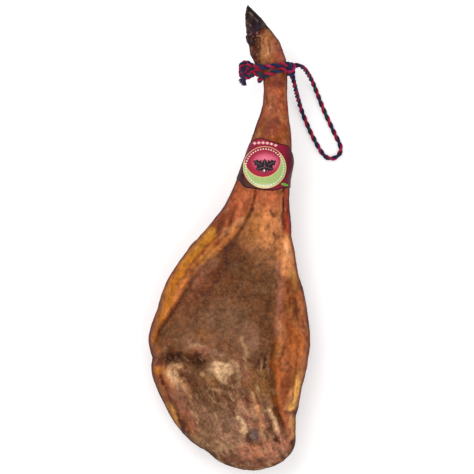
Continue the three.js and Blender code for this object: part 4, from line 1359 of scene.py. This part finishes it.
def frayed_ends(lines, seed):
    """Fine cotton fibres that fan out past the cut end of each line: thin tapering tubes along
    straight lines that droop with the square of the distance."""
    random = np.random.default_rng(seed)
    points, faces, tints = [], [], []
    count = 0
    around = 2.1 * np.arange(FRAY_SIDES)
    for line in lines:
        direction = line[-1] - line[-4]
        direction /= np.linalg.norm(direction)
        side, up = route_frames(line)
        for _ in range(FRAY_FIBRES):
            angle = random.uniform(0, 2 * np.pi)
            reach = ROPE_RADIUS * 0.85 * random.uniform(0, 1) ** 0.5
            spread = spokes(angle, side[-1], up[-1])
            start = line[-1] - 2.5 * direction + reach * spread
            length = random.uniform(*FRAY_LENGTHS)
            share = np.linspace(0, 1, FRAY_POINTS)[:, None]
            droop = np.array([0, 0, -1.2]) * share**2
            fibre = start + direction * length * share + spread * 1.6 * share**2 * reach / 3 + droop
            ring = FRAY_RADIUS * (1 - 0.6 * share[:, None])
            tube = (fibre[:, None] + ring * spokes(around, side[-1], up[-1])).reshape(-1, 3)
            points.append(tube)
            colour = linear(CRIMSON if random.uniform() < 0.2 else NAVY) * random.uniform(0.7, 1.5)
            tints.append(np.tile(colour, (len(tube), 1)))
            faces += tube_faces(FRAY_POINTS, FRAY_SIDES, count).tolist()
            faces += end_faces(FRAY_POINTS, FRAY_SIDES, count)
            count += len(tube)
    return new_piece("hitch_frayed_ends", np.vstack(points), faces, np.vstack(tints))


stub_lines = [smooth_route(route, ROPE_STEP) for route in STUB_ROUTES]
tails = [smooth_route(route, ROPE_STEP) for route in TAIL_ROUTES]
hitch = twisted_rope("hitch_strands", [hitch_line(), *tails], HITCH_RADIUS, HITCH_PITCH, 5)
knot = twisted_rope("hitch_knot", knot_lines(), KNOT_STRAND, KNOT_PITCH, 6)
stubs = twisted_rope("hitch_stubs", stub_lines, ROPE_RADIUS, STUB_PITCH, 7)
frays = frayed_ends(stub_lines, 8)
for piece in (hitch, knot, stubs, frays):
    piece.data.materials.append(ROPE_COTTON)
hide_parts("rope_hitch")

# Floor and light
# A plain white table that is softly lit from below too, as for pictures on a white ground, and
# soft light from above, a little stronger from the upper left.
FLOOR_SIZE = 6.0
FLOOR_DROP = 0.0004
FLOOR_GLOW = 0.2
SKY_STRENGTH = 0.66
BOX_WIDTH = 2.0
# The soft boxes: name, place in metres and power in watts, and the point that they are aimed at.
SOFT_BOXES = [("key", (-0.9, 0.8, 1.9), 28), ("fill", (1.2, -0.6, 1.8), 13)]
AIM = (0, 0, 0.06)
floor_mesh = bpy.data.meshes.new("floor")
half = FLOOR_SIZE / 2
floor_mesh.from_pydata(
    [(-half, -half, -FLOOR_DROP), (half, -half, -FLOOR_DROP), (half, half, -FLOOR_DROP),
     (-half, half, -FLOOR_DROP)], [], [(0, 1, 2, 3)],
)
floor = bpy.data.objects.new("floor", floor_mesh)
scene.collection.objects.link(floor)
floor_material, floor_tree, floor_shader, floor_place = new_material("floor_white")
set_inputs(floor_tree, floor_shader, {
    "Base Color": ramp(floor_tree, noise(floor_tree, floor_place, 40, 2), 0, 1, 0.93, 0.95),
    "Roughness": 0.9,
    "Emission Color": (1, 1, 1, 1),
    "Emission Strength": FLOOR_GLOW,
})
floor_mesh.materials.append(floor_material)

world = bpy.data.worlds.new("studio")
world.use_nodes = True
background = world.node_tree.nodes["Background"]
set_inputs(world.node_tree, background, {"Color": (1, 1, 1, 1), "Strength": SKY_STRENGTH})
scene.world = world

for name, place, power in SOFT_BOXES:
    light = bpy.data.lights.new(name, "AREA")
    light.size = BOX_WIDTH
    light.energy = power
    lamp = bpy.data.objects.new(name, light)
    lamp.location = place
    lamp.rotation_euler = (Vector(AIM) - Vector(place)).to_track_quat("-Z", "Y").to_euler()
    scene.collection.objects.link(lamp)
